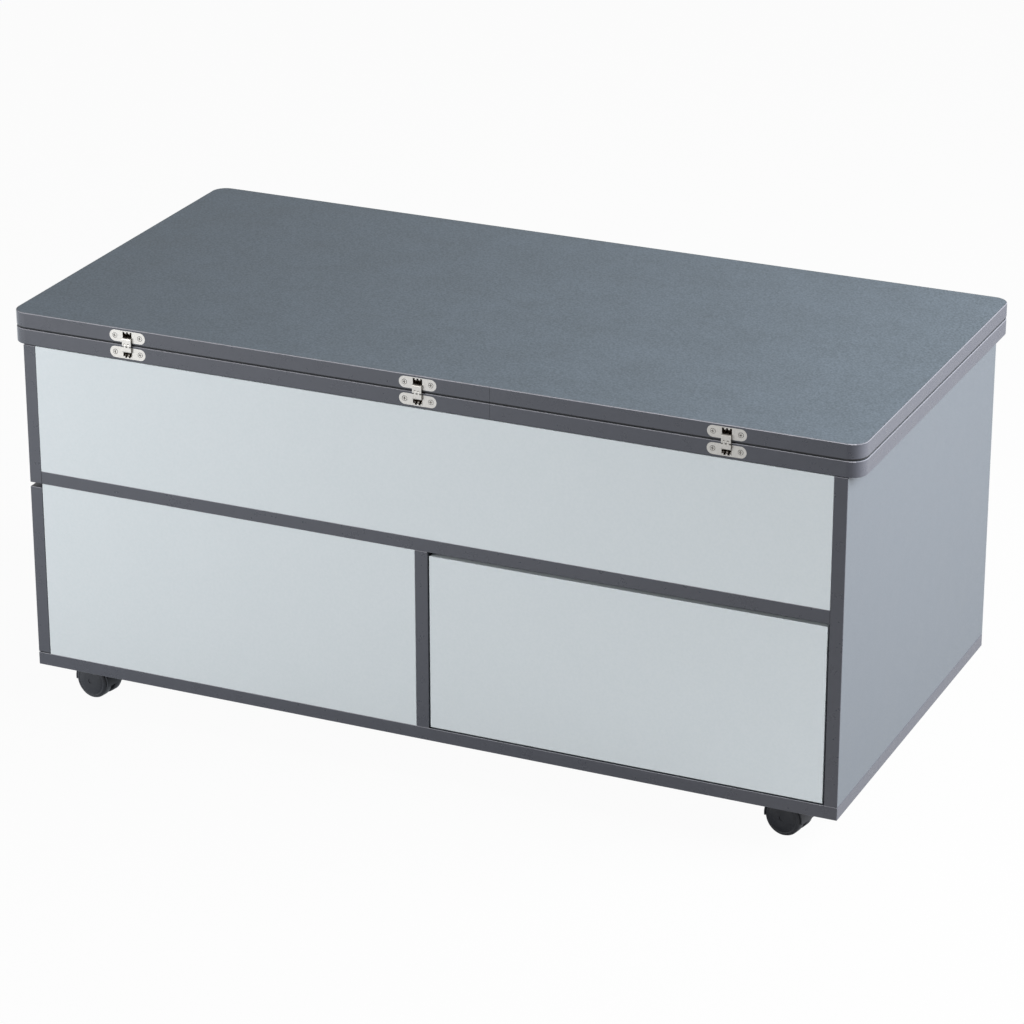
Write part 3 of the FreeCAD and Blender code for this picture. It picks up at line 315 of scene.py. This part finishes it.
class Finish(Enum):
    """The finishes of the table."""

    # Dark slate print: cool grey with a lively pebble and a broad satin sheen
    SLATE = Melamine(
        "slate_melamine", "#40484e", "#58616a", "#6a7076",
        roughness=0.42, pebble_mm=2.4, pebble_depth_mm=0.10)
    # The same print on the carcass boards, pressed smooth: an even, slightly warmer grey
    SIDE = Melamine(
        "smooth_slate_melamine", "#4b5056", "#51565c", "#6a6e73",
        roughness=0.42, pebble_mm=2.4, pebble_depth_mm=0.03)
    # Pale print on the panels: almost even, so the light's own falloff shows
    PALE = Melamine(
        "pale_melamine", "#cfd7db", "#d3dade", "#c3cacc",
        roughness=0.45, pebble_mm=3.0, pebble_depth_mm=0.02)
    # Light grey foil on the drawer boxes: flatter and a little warmer than the fronts
    DRAWER = Melamine(
        "drawer_melamine", "#c9cdcf", "#d2d5d6", "#bdc0c1",
        roughness=0.5, pebble_mm=3.0, pebble_depth_mm=0.05)
    # Painted hardboard of the drawer bottoms: dull, with the board's fibre as a coarse pebble
    HARDBOARD = Melamine(
        "painted_hardboard", "#c0c1bf", "#c9c9c7", "#a89f92",
        roughness=0.6, pebble_mm=4.0, pebble_depth_mm=0.12)
    # PVC edge band: smooth and a little glossier than the boards, purplish beside them
    EDGE = Moulded(
        "pvc_edge_band", "#393b43", "#3e4049", "#585a61",
        roughness=0.3, peel_mm=1.2, peel_depth_mm=0.005, gloss=0.75)
    # Painted highlight: a paler, duller colour on the upward arris along the front, the light line that edge
    # catches
    FRONT_ARRIS_HIGHLIGHT = Moulded("painted_front_arris_highlight", "#8b8b92", "#97979e", "#a3a3a9", roughness=0.5)
    # Painted highlight, weaker: a lighter colour on the upward arris round the other edges, closer to the
    # band's own grey
    ARRIS_HIGHLIGHT = Moulded("painted_arris_highlight", "#606168", "#67686f", "#74757b", roughness=0.45)
    # Painted shade of the gap between the leaves: the bands' flat tops and the upper band's lower arris, dark
    # so the joint reads as one line
    GAP_SHADE = Moulded("painted_gap_shade", "#141417", "#18181b", "#242428", roughness=0.5)
    # Black nylon of the casters: soft highlights on a near-black body
    NYLON = Moulded("black_nylon", "#181a20", "#1d1f25", "#2e3036", roughness=0.42)
    # Rubber bumpers: dead matt
    RUBBER = Moulded("bumper_rubber", "#161616", "#1e1e1e", "#2a2a2a", roughness=0.75)
    # White rail plastic: bright with a low sheen
    RAIL = Moulded("white_rail_plastic", "#dcdcd9", "#e3e3e1", "#cfcfcb", roughness=0.45)
    # Black powder coat of the lift: fine orange peel, steel showing at rubbed edges
    POWDER = Moulded(
        "black_powder_coat", "#1b1b1d", "#232326", "#4a4a4c",
        roughness=0.5, peel_mm=0.9, peel_depth_mm=0.06)
    # Nickel plate on the hinges: warm white metal with soft reflections
    NICKEL = Plated("nickel_plated_zinc", "#cfccc7", "#a5a19b", "#e2e0dc", roughness=0.42, mark_mm=1.6)
    # Unpolished zinc in the recesses of the hinges: brown and dull beside the plate, and darker as painted
    # shade in the pockets and seats
    RECESS_TONE_AND_SHADE = Plated("dull_zinc_and_painted_recess_shade", "#8c7c6e", "#66584c", "#a0917f", roughness=0.5)
    # Zinc plate on screws and brackets: bluish and slightly clouded
    ZINC = Plated("zinc_plated_steel", "#b9bcc0", "#a7abb0", "#c9ccd0", roughness=0.36)
    # Polished strut rods: clear mirror
    CHROME = Plated("polished_rod", "#d3d5d8", "#c8cace", "#dfe1e4", roughness=0.12)


MATERIALS: dict[Finish, bpy.types.Material] = {finish: finish.value.material() for finish in Finish}

SLOT_FINISH: dict[str, Finish] = {
    "slate_board": Finish.SLATE,
    "pale_board": Finish.PALE,
    "edge_band": Finish.EDGE,
    "drawer_board": Finish.DRAWER,
    "drawer_hardboard": Finish.HARDBOARD,
    "rail_plastic": Finish.RAIL,
    "bumper_rubber": Finish.RUBBER,
    "hinge_nickel": Finish.NICKEL,
    "lift_paint": Finish.POWDER,
    "zinc_steel": Finish.ZINC,
    "strut_chrome": Finish.CHROME,
    "caster_plastic": Finish.NYLON,
}
NODE_SLOT: dict[str, str] = {part["node"]: part["material_slot"] for part in frame["record"]["subparts"]}
NODE_BODY: dict[str, str] = {
    node: body for body, nodes in frame["record"]["behaviour"]["bodies"].items() for node in nodes}


# Shared steps


def show(mesh: bpy.types.Mesh, node: str) -> bpy.types.Object:
    """Puts a finished mesh into the scene in place of its solid, on the solid's body.

    Args:
        mesh: The mesh, with its place in its vertices and its materials set.
        node: The solid's name.

    Returns:
        The new object.
    """
    piece = bpy.data.objects.new(f"{node}_look", mesh)
    bpy.context.scene.collection.objects.link(piece)
    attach(piece, NODE_BODY[node])
    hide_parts(node)
    log.info("%s: %d faces on %s", piece.name, len(mesh.polygons), NODE_BODY[node])
    return piece


def merged_copy(node: str) -> bpy.types.Mesh:
    """Copies a solid's mesh with its vertices joined, its curved faces smooth and its wide ones flat.

    Args:
        node: The solid's name.

    Returns:
        The new mesh, with no materials.
    """
    work = bmesh.new()
    work.from_mesh(frame["nodes"][node].data)
    bmesh.ops.remove_doubles(work, verts=work.verts, dist=MERGE_MM * MM)
    bmesh.ops.dissolve_limit(
        work, angle_limit=math.radians(LEVEL_DEGREES), verts=work.verts, edges=work.edges)
    mesh = bpy.data.meshes.new(node)
    work.to_mesh(mesh)
    work.free()
    mesh.materials.clear()
    mesh.shade_smooth()
    mesh.set_sharp_from_angle(angle=math.radians(CREASE_DEGREES))
    for polygon in mesh.polygons:
        many_sided = len(polygon.vertices) > FLAT_CORNERS
        polygon.use_smooth = not (many_sided and polygon.area > FLAT_AREA_MM2 * MM ** 2)
    return mesh


def dress(node: str) -> bpy.types.Object:
    """Shows a solid in the finish of its slot.

    Args:
        node: The solid's name.

    Returns:
        The dressed piece.
    """
    mesh = merged_copy(node)
    mesh.materials.append(MATERIALS[SLOT_FINISH[NODE_SLOT[node]]])
    return show(mesh, node)


def paint(
        mesh: bpy.types.Mesh, finishes: tuple[Finish, ...], choose: Callable[[bpy.types.MeshPolygon], Finish]
) -> None:
    """Gives each face of a mesh the finish that is chosen for it.

    Args:
        mesh: The mesh, with no materials yet.
        finishes: Every finish that can be chosen.
        choose: Tells a face's finish.
    """
    for finish in finishes:
        mesh.materials.append(MATERIALS[finish])
    for polygon in mesh.polygons:
        polygon.material_index = finishes.index(choose(polygon))


def is_front_arris(polygon: bpy.types.MeshPolygon) -> bool:
    """Tells whether a face is the eased upper edge along the front of a board."""
    return polygon.normal.y < -FORWARD and polygon.normal.z > SLANTED


def dress_banded(node: str, face: Finish, edge: Finish) -> bpy.types.Object:
    """Shows a board with one finish on its two faces and an edge band on its narrow sides.

    Args:
        node: The board's name.
        face: The finish of the faces.
        edge: The finish of the narrow sides.

    Returns:
        The dressed board.
    """
    mesh = merged_copy(node)
    low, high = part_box(node)
    across = min(range(3), key=lambda axis: high[axis] - low[axis])

    def choose(polygon: bpy.types.MeshPolygon) -> Finish:
        """Tells the finish of one face of the board."""
        if abs(polygon.normal[across]) > SQUARE_ON:
            return face
        # Painted highlight: the upward front arris of the board gets the pale arris colour
        return Finish.FRONT_ARRIS_HIGHLIGHT if is_front_arris(polygon) else edge

    paint(mesh, (face, edge, Finish.FRONT_ARRIS_HIGHLIGHT), choose)
    return show(mesh, node)


# Sub-assemblies


@dataclass
class Carcass:
    """The fixed box: slate boards with banded edges, pale front and back panels, rails and bumpers."""

    banded: tuple[str, ...] = (
        "bottom_panel", "right_side_panel", "left_side_panel", "mid_shelf", "centre_divider")
    plain: tuple[str, ...] = (
        "upper_front_panel", "lower_front_panel", "upper_back_panel", "lower_back_panel",
        "front_drawer_rails", "end_drawer_rails", "rim_bumpers")
    rim: tuple[str, ...] = ("right_side_panel", "left_side_panel", "upper_front_panel", "upper_back_panel")
    rim_rise_mm: float = 1.5

    def build(self) -> None:
        """Dresses every board of the carcass."""
        pieces = {node: dress_banded(node, Finish.SIDE, Finish.EDGE) for node in self.banded}
        pieces |= {node: dress(node) for node in self.plain}
        for node in self.rim:
            self.raise_rim(pieces[node])

    def raise_rim(self, piece: bpy.types.Object) -> None:
        """Draws a board's upper edge closer to the top, for the fine joint of the real table.

        Args:
            piece: The dressed board.
        """
        vertices = piece.data.vertices
        rim = max(vertex.co.z for vertex in vertices)
        for vertex in vertices:
            if vertex.co.z > rim - self.rim_rise_mm * MM:
                vertex.co.z += self.rim_rise_mm * MM


@dataclass
class Drawers:
    """The front drawer with its pale front and the end drawer with its slate front."""

    boxes: dict[str, tuple[str, str]] = field(default_factory=lambda: {
        "front_drawer": ("left", "right"), "end_drawer": ("back", "front")})

    def build(self) -> None:
        """Dresses both drawers."""
        dress("front_drawer_front")
        dress_banded("end_drawer_front", Finish.SIDE, Finish.EDGE)
        for name, sides in self.boxes.items():
            dress(f"{name}_back")
            dress(f"{name}_bottom")
            for side in sides:
                dress(f"{name}_{side}_side")


@dataclass
class Lift:
    """The arm units under the top, with their struts and rivets."""

    steel: tuple[str, ...] = (
        "lift_base_bracket_left", "lift_base_bracket_right", "lift_top_bracket_left",
        "lift_top_bracket_right", "lift_main_arm_left", "lift_main_arm_right", "lift_follower_arm_left",
        "lift_follower_arm_right", "lift_cross_bar", "strut_cylinders", "strut_rods", "lift_base_rivets",
        "lift_top_rivets", "lift_strut_pins")

    def build(self) -> None:
        """Dresses the lift."""
        for node in self.steel:
            dress(node)


@dataclass
class FoldingTop:
    """The two leaves with their edge bands.

    The arris and the corner are those of the solids. The drawn corner and the eases, which are added to
    the height of the arris over the joint, are the real table's.
    """

    leaves: tuple[str, ...] = ("lower", "upper")
    jointed: str = "upper_edge_band"
    arris_mm: float = 0.7
    corner_mm: float = 25.0
    drawn_corner_mm: float = 18.0
    joint_ease_mm: float = 0.8
    end_ease_mm: float = 0.7
    hair_mm: float = 0.01

    def build(self) -> None:
        """Dresses both leaves."""
        for leaf in self.leaves:
            for piece in (dress(f"{leaf}_leaf"), self.band(f"{leaf}_edge_band")):
                self.tighten_corners(piece.data)

    def tighten_corners(self, mesh: bpy.types.Mesh) -> None:
        """Draws the corners of a leaf tighter than the solids have them, as they are on the real table.

        Args:
            mesh: The mesh of the board or of its band.
        """
        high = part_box(self.jointed)[1]
        end, long_side = high[0] - self.corner_mm * MM, high[1] - self.corner_mm * MM
        shift = (self.corner_mm - self.drawn_corner_mm) * MM
        for vertex in mesh.vertices:
            out, across = abs(vertex.co.x) - end, abs(vertex.co.y) - long_side
            if min(out, across) > -self.hair_mm * MM:
                keep = 1 - shift / math.hypot(out, across)
                vertex.co.x = math.copysign(end + shift + out * keep, vertex.co.x)
                vertex.co.y = math.copysign(long_side + shift + across * keep, vertex.co.y)

    def ease_joint(self, mesh: bpy.types.Mesh) -> None:
        """Draws the lower arris of a band taller, and tallest at the ends, so the painted shade on it is as
        wide as the real table's dark joint.

        Args:
            mesh: The band's mesh.
        """
        foot = min(vertex.co.z for vertex in mesh.vertices)
        end = max(vertex.co.x for vertex in mesh.vertices)
        for vertex in mesh.vertices:
            if abs(vertex.co.z - foot - self.arris_mm * MM) < self.hair_mm * MM:
                round_corner = max(0.0, 1 - (end - abs(vertex.co.x)) / (self.corner_mm * MM))
                vertex.co.z += (self.joint_ease_mm + round_corner * self.end_ease_mm) * MM

    def band(self, node: str) -> bpy.types.Object:
        """Shows an edge band with a painted highlight on its upward arrises and painted shade of the gap on
        its flat top and, on the upper band, its lower arris.

        Args:
            node: The band's name.

        Returns:
            The dressed band.
        """
        mesh = merged_copy(node)
        if node == self.jointed:
            self.ease_joint(mesh)

        def choose(polygon: bpy.types.MeshPolygon) -> Finish:
            """Tells the finish of one face of the band."""
            rise = polygon.normal.z
            # Painted highlight on the upward arrises; painted shade of the gap on flat tops and the upper
            # band's lower arris
            if is_front_arris(polygon):
                return Finish.FRONT_ARRIS_HIGHLIGHT
            if SLANTED < rise < LEVEL:
                return Finish.ARRIS_HIGHLIGHT
            if rise > LEVEL or (rise < -SLANTED and node == self.jointed):
                return Finish.GAP_SHADE
            return Finish.EDGE

        paint(mesh, (Finish.EDGE, Finish.FRONT_ARRIS_HIGHLIGHT, Finish.ARRIS_HIGHLIGHT, Finish.GAP_SHADE), choose)
        return show(mesh, node)


@dataclass
class LeafHinges:
    """The concealed hinges in the front edges of the leaves."""

    cups: tuple[str, ...] = ("hinge_lower_cups", "hinge_upper_cups")
    bright: tuple[str, ...] = (
        "hinge_lower_links", "hinge_upper_links", "hinge_lower_pins", "hinge_upper_pins", "hinge_centre_pins")
    skin_mm: float = 0.3
    rib_mm: float = 2.0

    def build(self) -> None:
        """Dresses the hinges."""
        for node in self.cups:
            self.cup(node)
        for node in self.bright:
            dress(node)

    def cup(self, node: str) -> bpy.types.Object:
        """Shows the cups of one leaf, bright on the face and dull brown in the pockets and screw seats,
        partly the zinc's own tone and partly painted shade.

        Args:
            node: The cups' name.

        Returns:
            The dressed cups.
        """
        mesh = merged_copy(node)
        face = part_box(node)[0][1] + self.skin_mm * MM

        def choose(polygon: bpy.types.MeshPolygon) -> Finish:
            """Tells the finish of one face of a cup."""
            rib_front = polygon.normal.y < -SQUARE_ON and polygon.center.y < face + self.rib_mm * MM
            # Painted shade: pockets and screw seats get the darker brown zinc, while the rib fronts stay
            # bright
            return Finish.NICKEL if rib_front or polygon.center.y < face else Finish.RECESS_TONE_AND_SHADE

        paint(mesh, (Finish.NICKEL, Finish.RECESS_TONE_AND_SHADE), choose)
        return show(mesh, node)


@dataclass(frozen=True)
class ScrewPlace:
    """Where a screw's head sits and the turn that points its top outwards."""

    point_mm: tuple[float, float, float]
    turn: tuple[float, float, float]


@dataclass
class ScrewHeads:
    """Screw heads with a cross recess, set on points by one geometry-node tree."""

    head_mm: float = 2.5
    pan_top_mm: float = 1.8
    shank_mm: float = 1.6
    height_mm: float = 1.8
    recess_length_mm: float = 3.6
    recess_width_mm: float = 1.0
    recess_depth_mm: float = 1.5
    sides: int = 28

    def tree(self) -> bpy.types.NodeTree:
        """Builds the tree that sets a screw head on every point, turned as the point says.

        Returns:
            A tree with the head's sizes and its material as named inputs.
        """
        made = bpy.data.node_groups.new("screw_heads", "GeometryNodeTree")
        sockets = made.interface
        sockets.new_socket(name="Points", in_out="INPUT", socket_type="NodeSocketGeometry")
        for label in ("Top Radius", "Foot Radius", "Height", "Recess Length", "Recess Width", "Recess Depth"):
            sockets.new_socket(name=label, in_out="INPUT", socket_type="NodeSocketFloat")
        sockets.new_socket(name="Metal", in_out="INPUT", socket_type="NodeSocketMaterial")
        sockets.new_socket(name="Screws", in_out="OUTPUT", socket_type="NodeSocketGeometry")
        given = add_node(made, "NodeGroupInput").outputs
        head = add_node(made, "GeometryNodeMeshCone", {
            "Vertices": self.sides, "Radius Top": given["Top Radius"], "Radius Bottom": given["Foot Radius"],
            "Depth": given["Height"]})
        deep = add_node(made, "ShaderNodeMath", {0: given["Recess Depth"], 1: 2.0}, operation="MULTIPLY")
        length, width = given["Recess Length"], given["Recess Width"]
        top = add_node(made, "ShaderNodeCombineXYZ", {"Z": given["Height"]})
        cut = head
        for across, along in ((length, width), (width, length)):
            size = add_node(made, "ShaderNodeCombineXYZ", {"X": across, "Y": along, "Z": deep.outputs[0]})
            bar = add_node(made, "GeometryNodeMeshCube", {"Size": size.outputs[0]})
            raised = add_node(made, "GeometryNodeTransform", {
                "Geometry": bar.outputs["Mesh"], "Translation": top.outputs[0]})
            cut = add_node(made, "GeometryNodeMeshBoolean", {
                "Mesh 1": cut.outputs["Mesh"], "Mesh 2": raised.outputs["Geometry"]}, operation="DIFFERENCE")
        lowered = add_node(made, "ShaderNodeVectorMath", {
            0: top.outputs[0], "Scale": -1.0}, operation="SCALE")
        seated = add_node(made, "GeometryNodeTransform", {
            "Geometry": cut.outputs["Mesh"], "Translation": lowered.outputs[0]})
        turn = add_node(made, "GeometryNodeInputNamedAttribute", {"Name": "turn"}, data_type="FLOAT_VECTOR")
        placed = add_node(made, "GeometryNodeInstanceOnPoints", {
            "Points": given["Points"], "Instance": seated.outputs["Geometry"],
            "Rotation": turn.outputs["Attribute"]})
        real = add_node(made, "GeometryNodeRealizeInstances", {"Geometry": placed.outputs["Instances"]})
        metal = add_node(made, "GeometryNodeSetMaterial", {
            "Geometry": real.outputs["Geometry"], "Material": given["Metal"]})
        add_node(made, "NodeGroupOutput", {"Screws": metal.outputs["Geometry"]})
        return made

    def row(
            self, tree: bpy.types.NodeTree, places: list[ScrewPlace], sunk: bool, node: str
    ) -> bpy.types.Object:
        """Shows a set of screw heads in place of the solid screws.

        Args:
            tree: The tree from this class.
            places: Where the middle of each head's top is and how it is turned.
            sunk: True for countersunk heads, False for pan heads.
            node: The solid screws that the heads take the place of.

        Returns:
            The screw heads as one plain piece.
        """
        dots = bpy.data.meshes.new(f"{node}_points")
        dots.from_pydata([tuple(Vector(place.point_mm) * MM) for place in places], [], [])
        turns = dots.attributes.new("turn", "FLOAT_VECTOR", "POINT")
        for item, place in zip(turns.data, places):
            item.vector = place.turn
        host = bpy.data.objects.new(f"{node}_points", dots)
        bpy.context.scene.collection.objects.link(host)
        modifier = host.modifiers.new("screws", "NODES")
        modifier.node_group = tree
        top, foot = (self.head_mm, self.shank_mm) if sunk else (self.pan_top_mm, self.head_mm)
        values = {
            "Top Radius": top * MM, "Foot Radius": foot * MM, "Height": self.height_mm * MM,
            "Recess Length": self.recess_length_mm * MM, "Recess Width": self.recess_width_mm * MM,
            "Recess Depth": self.recess_depth_mm * MM, "Metal": MATERIALS[SLOT_FINISH[NODE_SLOT[node]]]}
        for item in tree.interface.items_tree:
            if item.in_out == "INPUT" and item.name in values:
                modifier[item.identifier] = values[item.name]
        depsgraph = bpy.context.evaluated_depsgraph_get()
        mesh = bpy.data.meshes.new_from_object(host.evaluated_get(depsgraph), depsgraph=depsgraph)
        bpy.data.objects.remove(host)
        return show(mesh, node)


@dataclass
class Fasteners:
    """Where the screws of the table sit."""

    hinge_pitch_mm: float = 352.0
    screw_reach_mm: float = 15.5

    def hinge_places(self, cups: str) -> list[ScrewPlace]:
        """Finds the hinge screws in one leaf.

        Args:
            cups: The name of the leaf's three cups.

        Returns:
            One place for each screw, on the face of its cup.
        """
        low, high = (Vector(corner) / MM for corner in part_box(cups))
        height = (low.z + high.z) / 2
        forwards = (math.radians(90), 0.0, 0.0)
        return [
            ScrewPlace((hinge * self.hinge_pitch_mm + side * self.screw_reach_mm, low.y, height), forwards)
            for hinge in (-1, 0, 1) for side in (-1, 1)]

    def upright_places(self, node: str) -> list[ScrewPlace]:
        """Finds the heads of upright screws from their solids.

        Args:
            node: The screws' name.

        Returns:
            One place for each screw, at the middle of its head's outer face.
        """
        work = bmesh.new()
        work.from_mesh(frame["nodes"][node].data)
        bmesh.ops.remove_doubles(work, verts=work.verts, dist=MERGE_MM * MM)
        places = []
        placed = set()
        for first in work.verts:
            if first in placed:
                continue
            screw = [first]
            placed.add(first)
            for vert in screw:
                beside = [edge.other_vert(vert) for edge in vert.link_edges]
                fresh = [other for other in beside if other not in placed]
                screw += fresh
                placed.update(fresh)
            points = [vert.co for vert in screw]
            middle = sum(points, Vector()) / len(points)
            low, high = min(p.z for p in points), max(p.z for p in points)
            widest = max(points, key=lambda p: (p.xy - middle.xy).length)
            head_up = high - widest.z < widest.z - low
            spot = (middle.x / MM, middle.y / MM, (high if head_up else low) / MM)
            places.append(ScrewPlace(spot, (0.0 if head_up else math.pi, 0.0, 0.0)))
        work.free()
        return places

    def build(self) -> None:
        """Sets the hinge screws in both leaves and the screws of the lift and the casters."""
        heads = ScrewHeads()
        tree = heads.tree()
        for leaf in ("lower", "upper"):
            heads.row(tree, self.hinge_places(f"hinge_{leaf}_cups"), True, f"hinge_{leaf}_screws")
        for node in ("carcass_screws", "lift_top_screws"):
            heads.row(tree, self.upright_places(node), False, node)


@dataclass
class Casters:
    """Four twin-wheel casters with a hood over each pair of wheels."""

    corners: tuple[str, ...] = ("front_left", "front_right", "back_left", "back_right")

    def build(self) -> None:
        """Dresses the casters and their plates."""
        dress("caster_plates")
        for corner in self.corners:
            dress(f"caster_{corner}_hood")
            dress(f"caster_{corner}_wheels")


# Studio


@dataclass(frozen=True)
class Lamp:
    """A soft lamp: where it hangs and its face, in metres, its power in watts, and whether gloss shows it."""

    name: str
    place: tuple[float, float, float]
    size: tuple[float, float]
    power: float
    mirrored: bool


@dataclass
class Studio:
    """A white floor, a soft key light from the right and the photograph's camera.

    Camera lengths are in millimetres and angles in degrees. The view's limit, the floor's lengths and the
    lamps' aim are in metres. Between the two ends of the glow, the floor's painted reflection fades to
    nothing.
    """

    target_mm: tuple[float, float, float] = (48.2764, -108.81, 277.1474)
    distance_mm: float = 4384.9755
    azimuth: float = 24.3045
    elevation: float = 22.5387
    roll: float = -0.0617
    lens: float = 139.7633
    sensor: float = 36.0
    view_limit: float = 50.0
    lamps: tuple[Lamp, ...] = (
        Lamp("key", (2.45, 0.33, 1.62), (2.0, 2.0), 302.0, False),
        Lamp("front", (-2.4, -2.3, 1.0), (1.6, 1.4), 93.0, True))
    aim: tuple[float, float, float] = (0.0, 0.0, 0.25)
    world_light: float = 0.11
    world_gloss: float = 0.46
    floor_half: float = 8.0
    floor_tone: str = "#959595"
    floor_white: float = 0.96
    # The floor's painted reflection: its tone, and where along X it fades from full to nothing
    reflected_glow_tone: str = "#eef6ff"
    reflected_glow_from: float = -0.9
    reflected_glow_to: float = 0.5

    def camera(self) -> None:
        """Places the camera at the photograph's viewpoint."""
        data = bpy.data.cameras.new("photo_camera")
        data.lens = self.lens
        data.sensor_width = self.sensor
        data.clip_end = self.view_limit
        data.dof.use_dof = False
        camera = bpy.data.objects.new("photo_camera", data)
        bpy.context.scene.collection.objects.link(camera)
        turn, rise = math.radians(self.azimuth), math.radians(self.elevation)
        level = math.cos(rise)
        away = Vector((math.sin(turn) * level, -math.cos(turn) * level, math.sin(rise)))
        aim = (-away).to_track_quat("-Z", "Y").to_matrix().to_4x4()
        place = Vector(self.target_mm) * MM + away * self.distance_mm * MM
        tilt = Matrix.Rotation(math.radians(self.roll), 4, "Z")
        camera.matrix_world = Matrix.Translation(place) @ aim @ tilt
        bpy.context.scene.camera = camera

    def hang(self, lamp: Lamp) -> None:
        """Adds a lamp that faces the table.

        Args:
            lamp: The lamp.
        """
        data = bpy.data.lights.new(lamp.name, "AREA")
        data.shape = "RECTANGLE"
        data.size, data.size_y = lamp.size
        data.energy = lamp.power
        hung = bpy.data.objects.new(lamp.name, data)
        hung.location = lamp.place
        hung.rotation_mode = "QUATERNION"
        hung.rotation_quaternion = (Vector(self.aim) - Vector(lamp.place)).to_track_quat("-Z", "Y")
        hung.visible_camera = False
        hung.visible_glossy = lamp.mirrored
        bpy.context.scene.collection.objects.link(hung)

    def world(self) -> None:
        """Makes the surroundings white to the eye and in reflections, and softer as a light."""
        made = bpy.data.worlds.new("white_studio")
        made.use_nodes = True
        tree = made.node_tree
        tree.nodes.clear()
        path = add_node(tree, "ShaderNodeLightPath").outputs
        mirrored = add_node(tree, "ShaderNodeMapRange", {
            "Value": path["Is Glossy Ray"], "To Min": self.world_light, "To Max": self.world_gloss})
        clear = add_node(tree, "ShaderNodeMath", {
            0: path["Is Camera Ray"], 1: path["Is Transmission Ray"]}, operation="MAXIMUM")
        strength = add_node(tree, "ShaderNodeMapRange", {
            "Value": clear.outputs[0], "To Min": mirrored.outputs["Result"], "To Max": 1.0})
        back = add_node(tree, "ShaderNodeBackground", {
            "Color": (1.0, 1.0, 1.0, 1.0), "Strength": strength.outputs["Result"]})
        add_node(tree, "ShaderNodeOutputWorld", {"Surface": back.outputs["Background"]})
        bpy.context.scene.world = made

    def floor(self) -> None:
        """Lays a white floor that keeps a faint shadow of the table and glows in reflections only, as a
        painted reflection.
        """
        made, tree = new_tree("studio_floor")
        path = add_node(tree, "ShaderNodeLightPath").outputs
        place = add_node(tree, "ShaderNodeTexCoord").outputs["Object"]
        along = add_node(tree, "ShaderNodeSeparateXYZ", {"Vector": place})
        # Painted reflection: glossy rays see the floor glow, full at the left end and nothing past the right
        reflected_glow_fade = add_node(tree, "ShaderNodeMapRange", {
            "Value": along.outputs["X"], "From Min": self.reflected_glow_from, "From Max": self.reflected_glow_to,
            "To Min": 1.0, "To Max": 0.0})
        reflected_glow = add_node(tree, "ShaderNodeMath", {
            0: reflected_glow_fade.outputs["Result"], 1: path["Is Glossy Ray"]}, operation="MULTIPLY")
        mirrored = add_node(tree, "ShaderNodeEmission", {
            "Color": linear(self.reflected_glow_tone), "Strength": reflected_glow.outputs[0]})
        glow = add_node(tree, "ShaderNodeEmission", {"Color": (1.0, 1.0, 1.0, 1.0), "Strength": 1.0})
        matt = add_node(tree, "ShaderNodeBsdfDiffuse", {"Color": linear(self.floor_tone)})
        amount = add_node(tree, "ShaderNodeMath", {
            0: path["Is Camera Ray"], 1: self.floor_white}, operation="MULTIPLY")
        mixed = add_node(tree, "ShaderNodeMixShader", {
            0: amount.outputs[0], 1: matt.outputs["BSDF"], 2: glow.outputs["Emission"]})
        surface = add_node(tree, "ShaderNodeAddShader", {
            0: mixed.outputs["Shader"], 1: mirrored.outputs["Emission"]})
        add_node(tree, "ShaderNodeOutputMaterial", {"Surface": surface.outputs["Shader"]})
        sheet = bpy.data.meshes.new("studio_floor")
        half = self.floor_half
        corners = [(-half, -half, 0), (half, -half, 0), (half, half, 0), (-half, half, 0)]
        sheet.from_pydata(corners, [], [(0, 1, 2, 3)])
        sheet.materials.append(made)
        ground = bpy.data.objects.new("studio_floor", sheet)
        bpy.context.scene.collection.objects.link(ground)

    def build(self) -> None:
        """Sets up the floor, the light and the camera."""
        self.floor()
        self.world()
        for lamp in self.lamps:
            self.hang(lamp)
        self.camera()
        bpy.context.scene.view_settings.view_transform = "Standard"


def main() -> None:
    """Builds the table piece by piece and sets it in the studio."""
    logging.basicConfig(level=logging.INFO, format="%(message)s")
    for assembly in (Carcass(), Drawers(), Lift(), FoldingTop(), LeafHinges(), Fasteners(), Casters()):
        assembly.build()
    Studio().build()


if __name__ == "__main__":
    main()
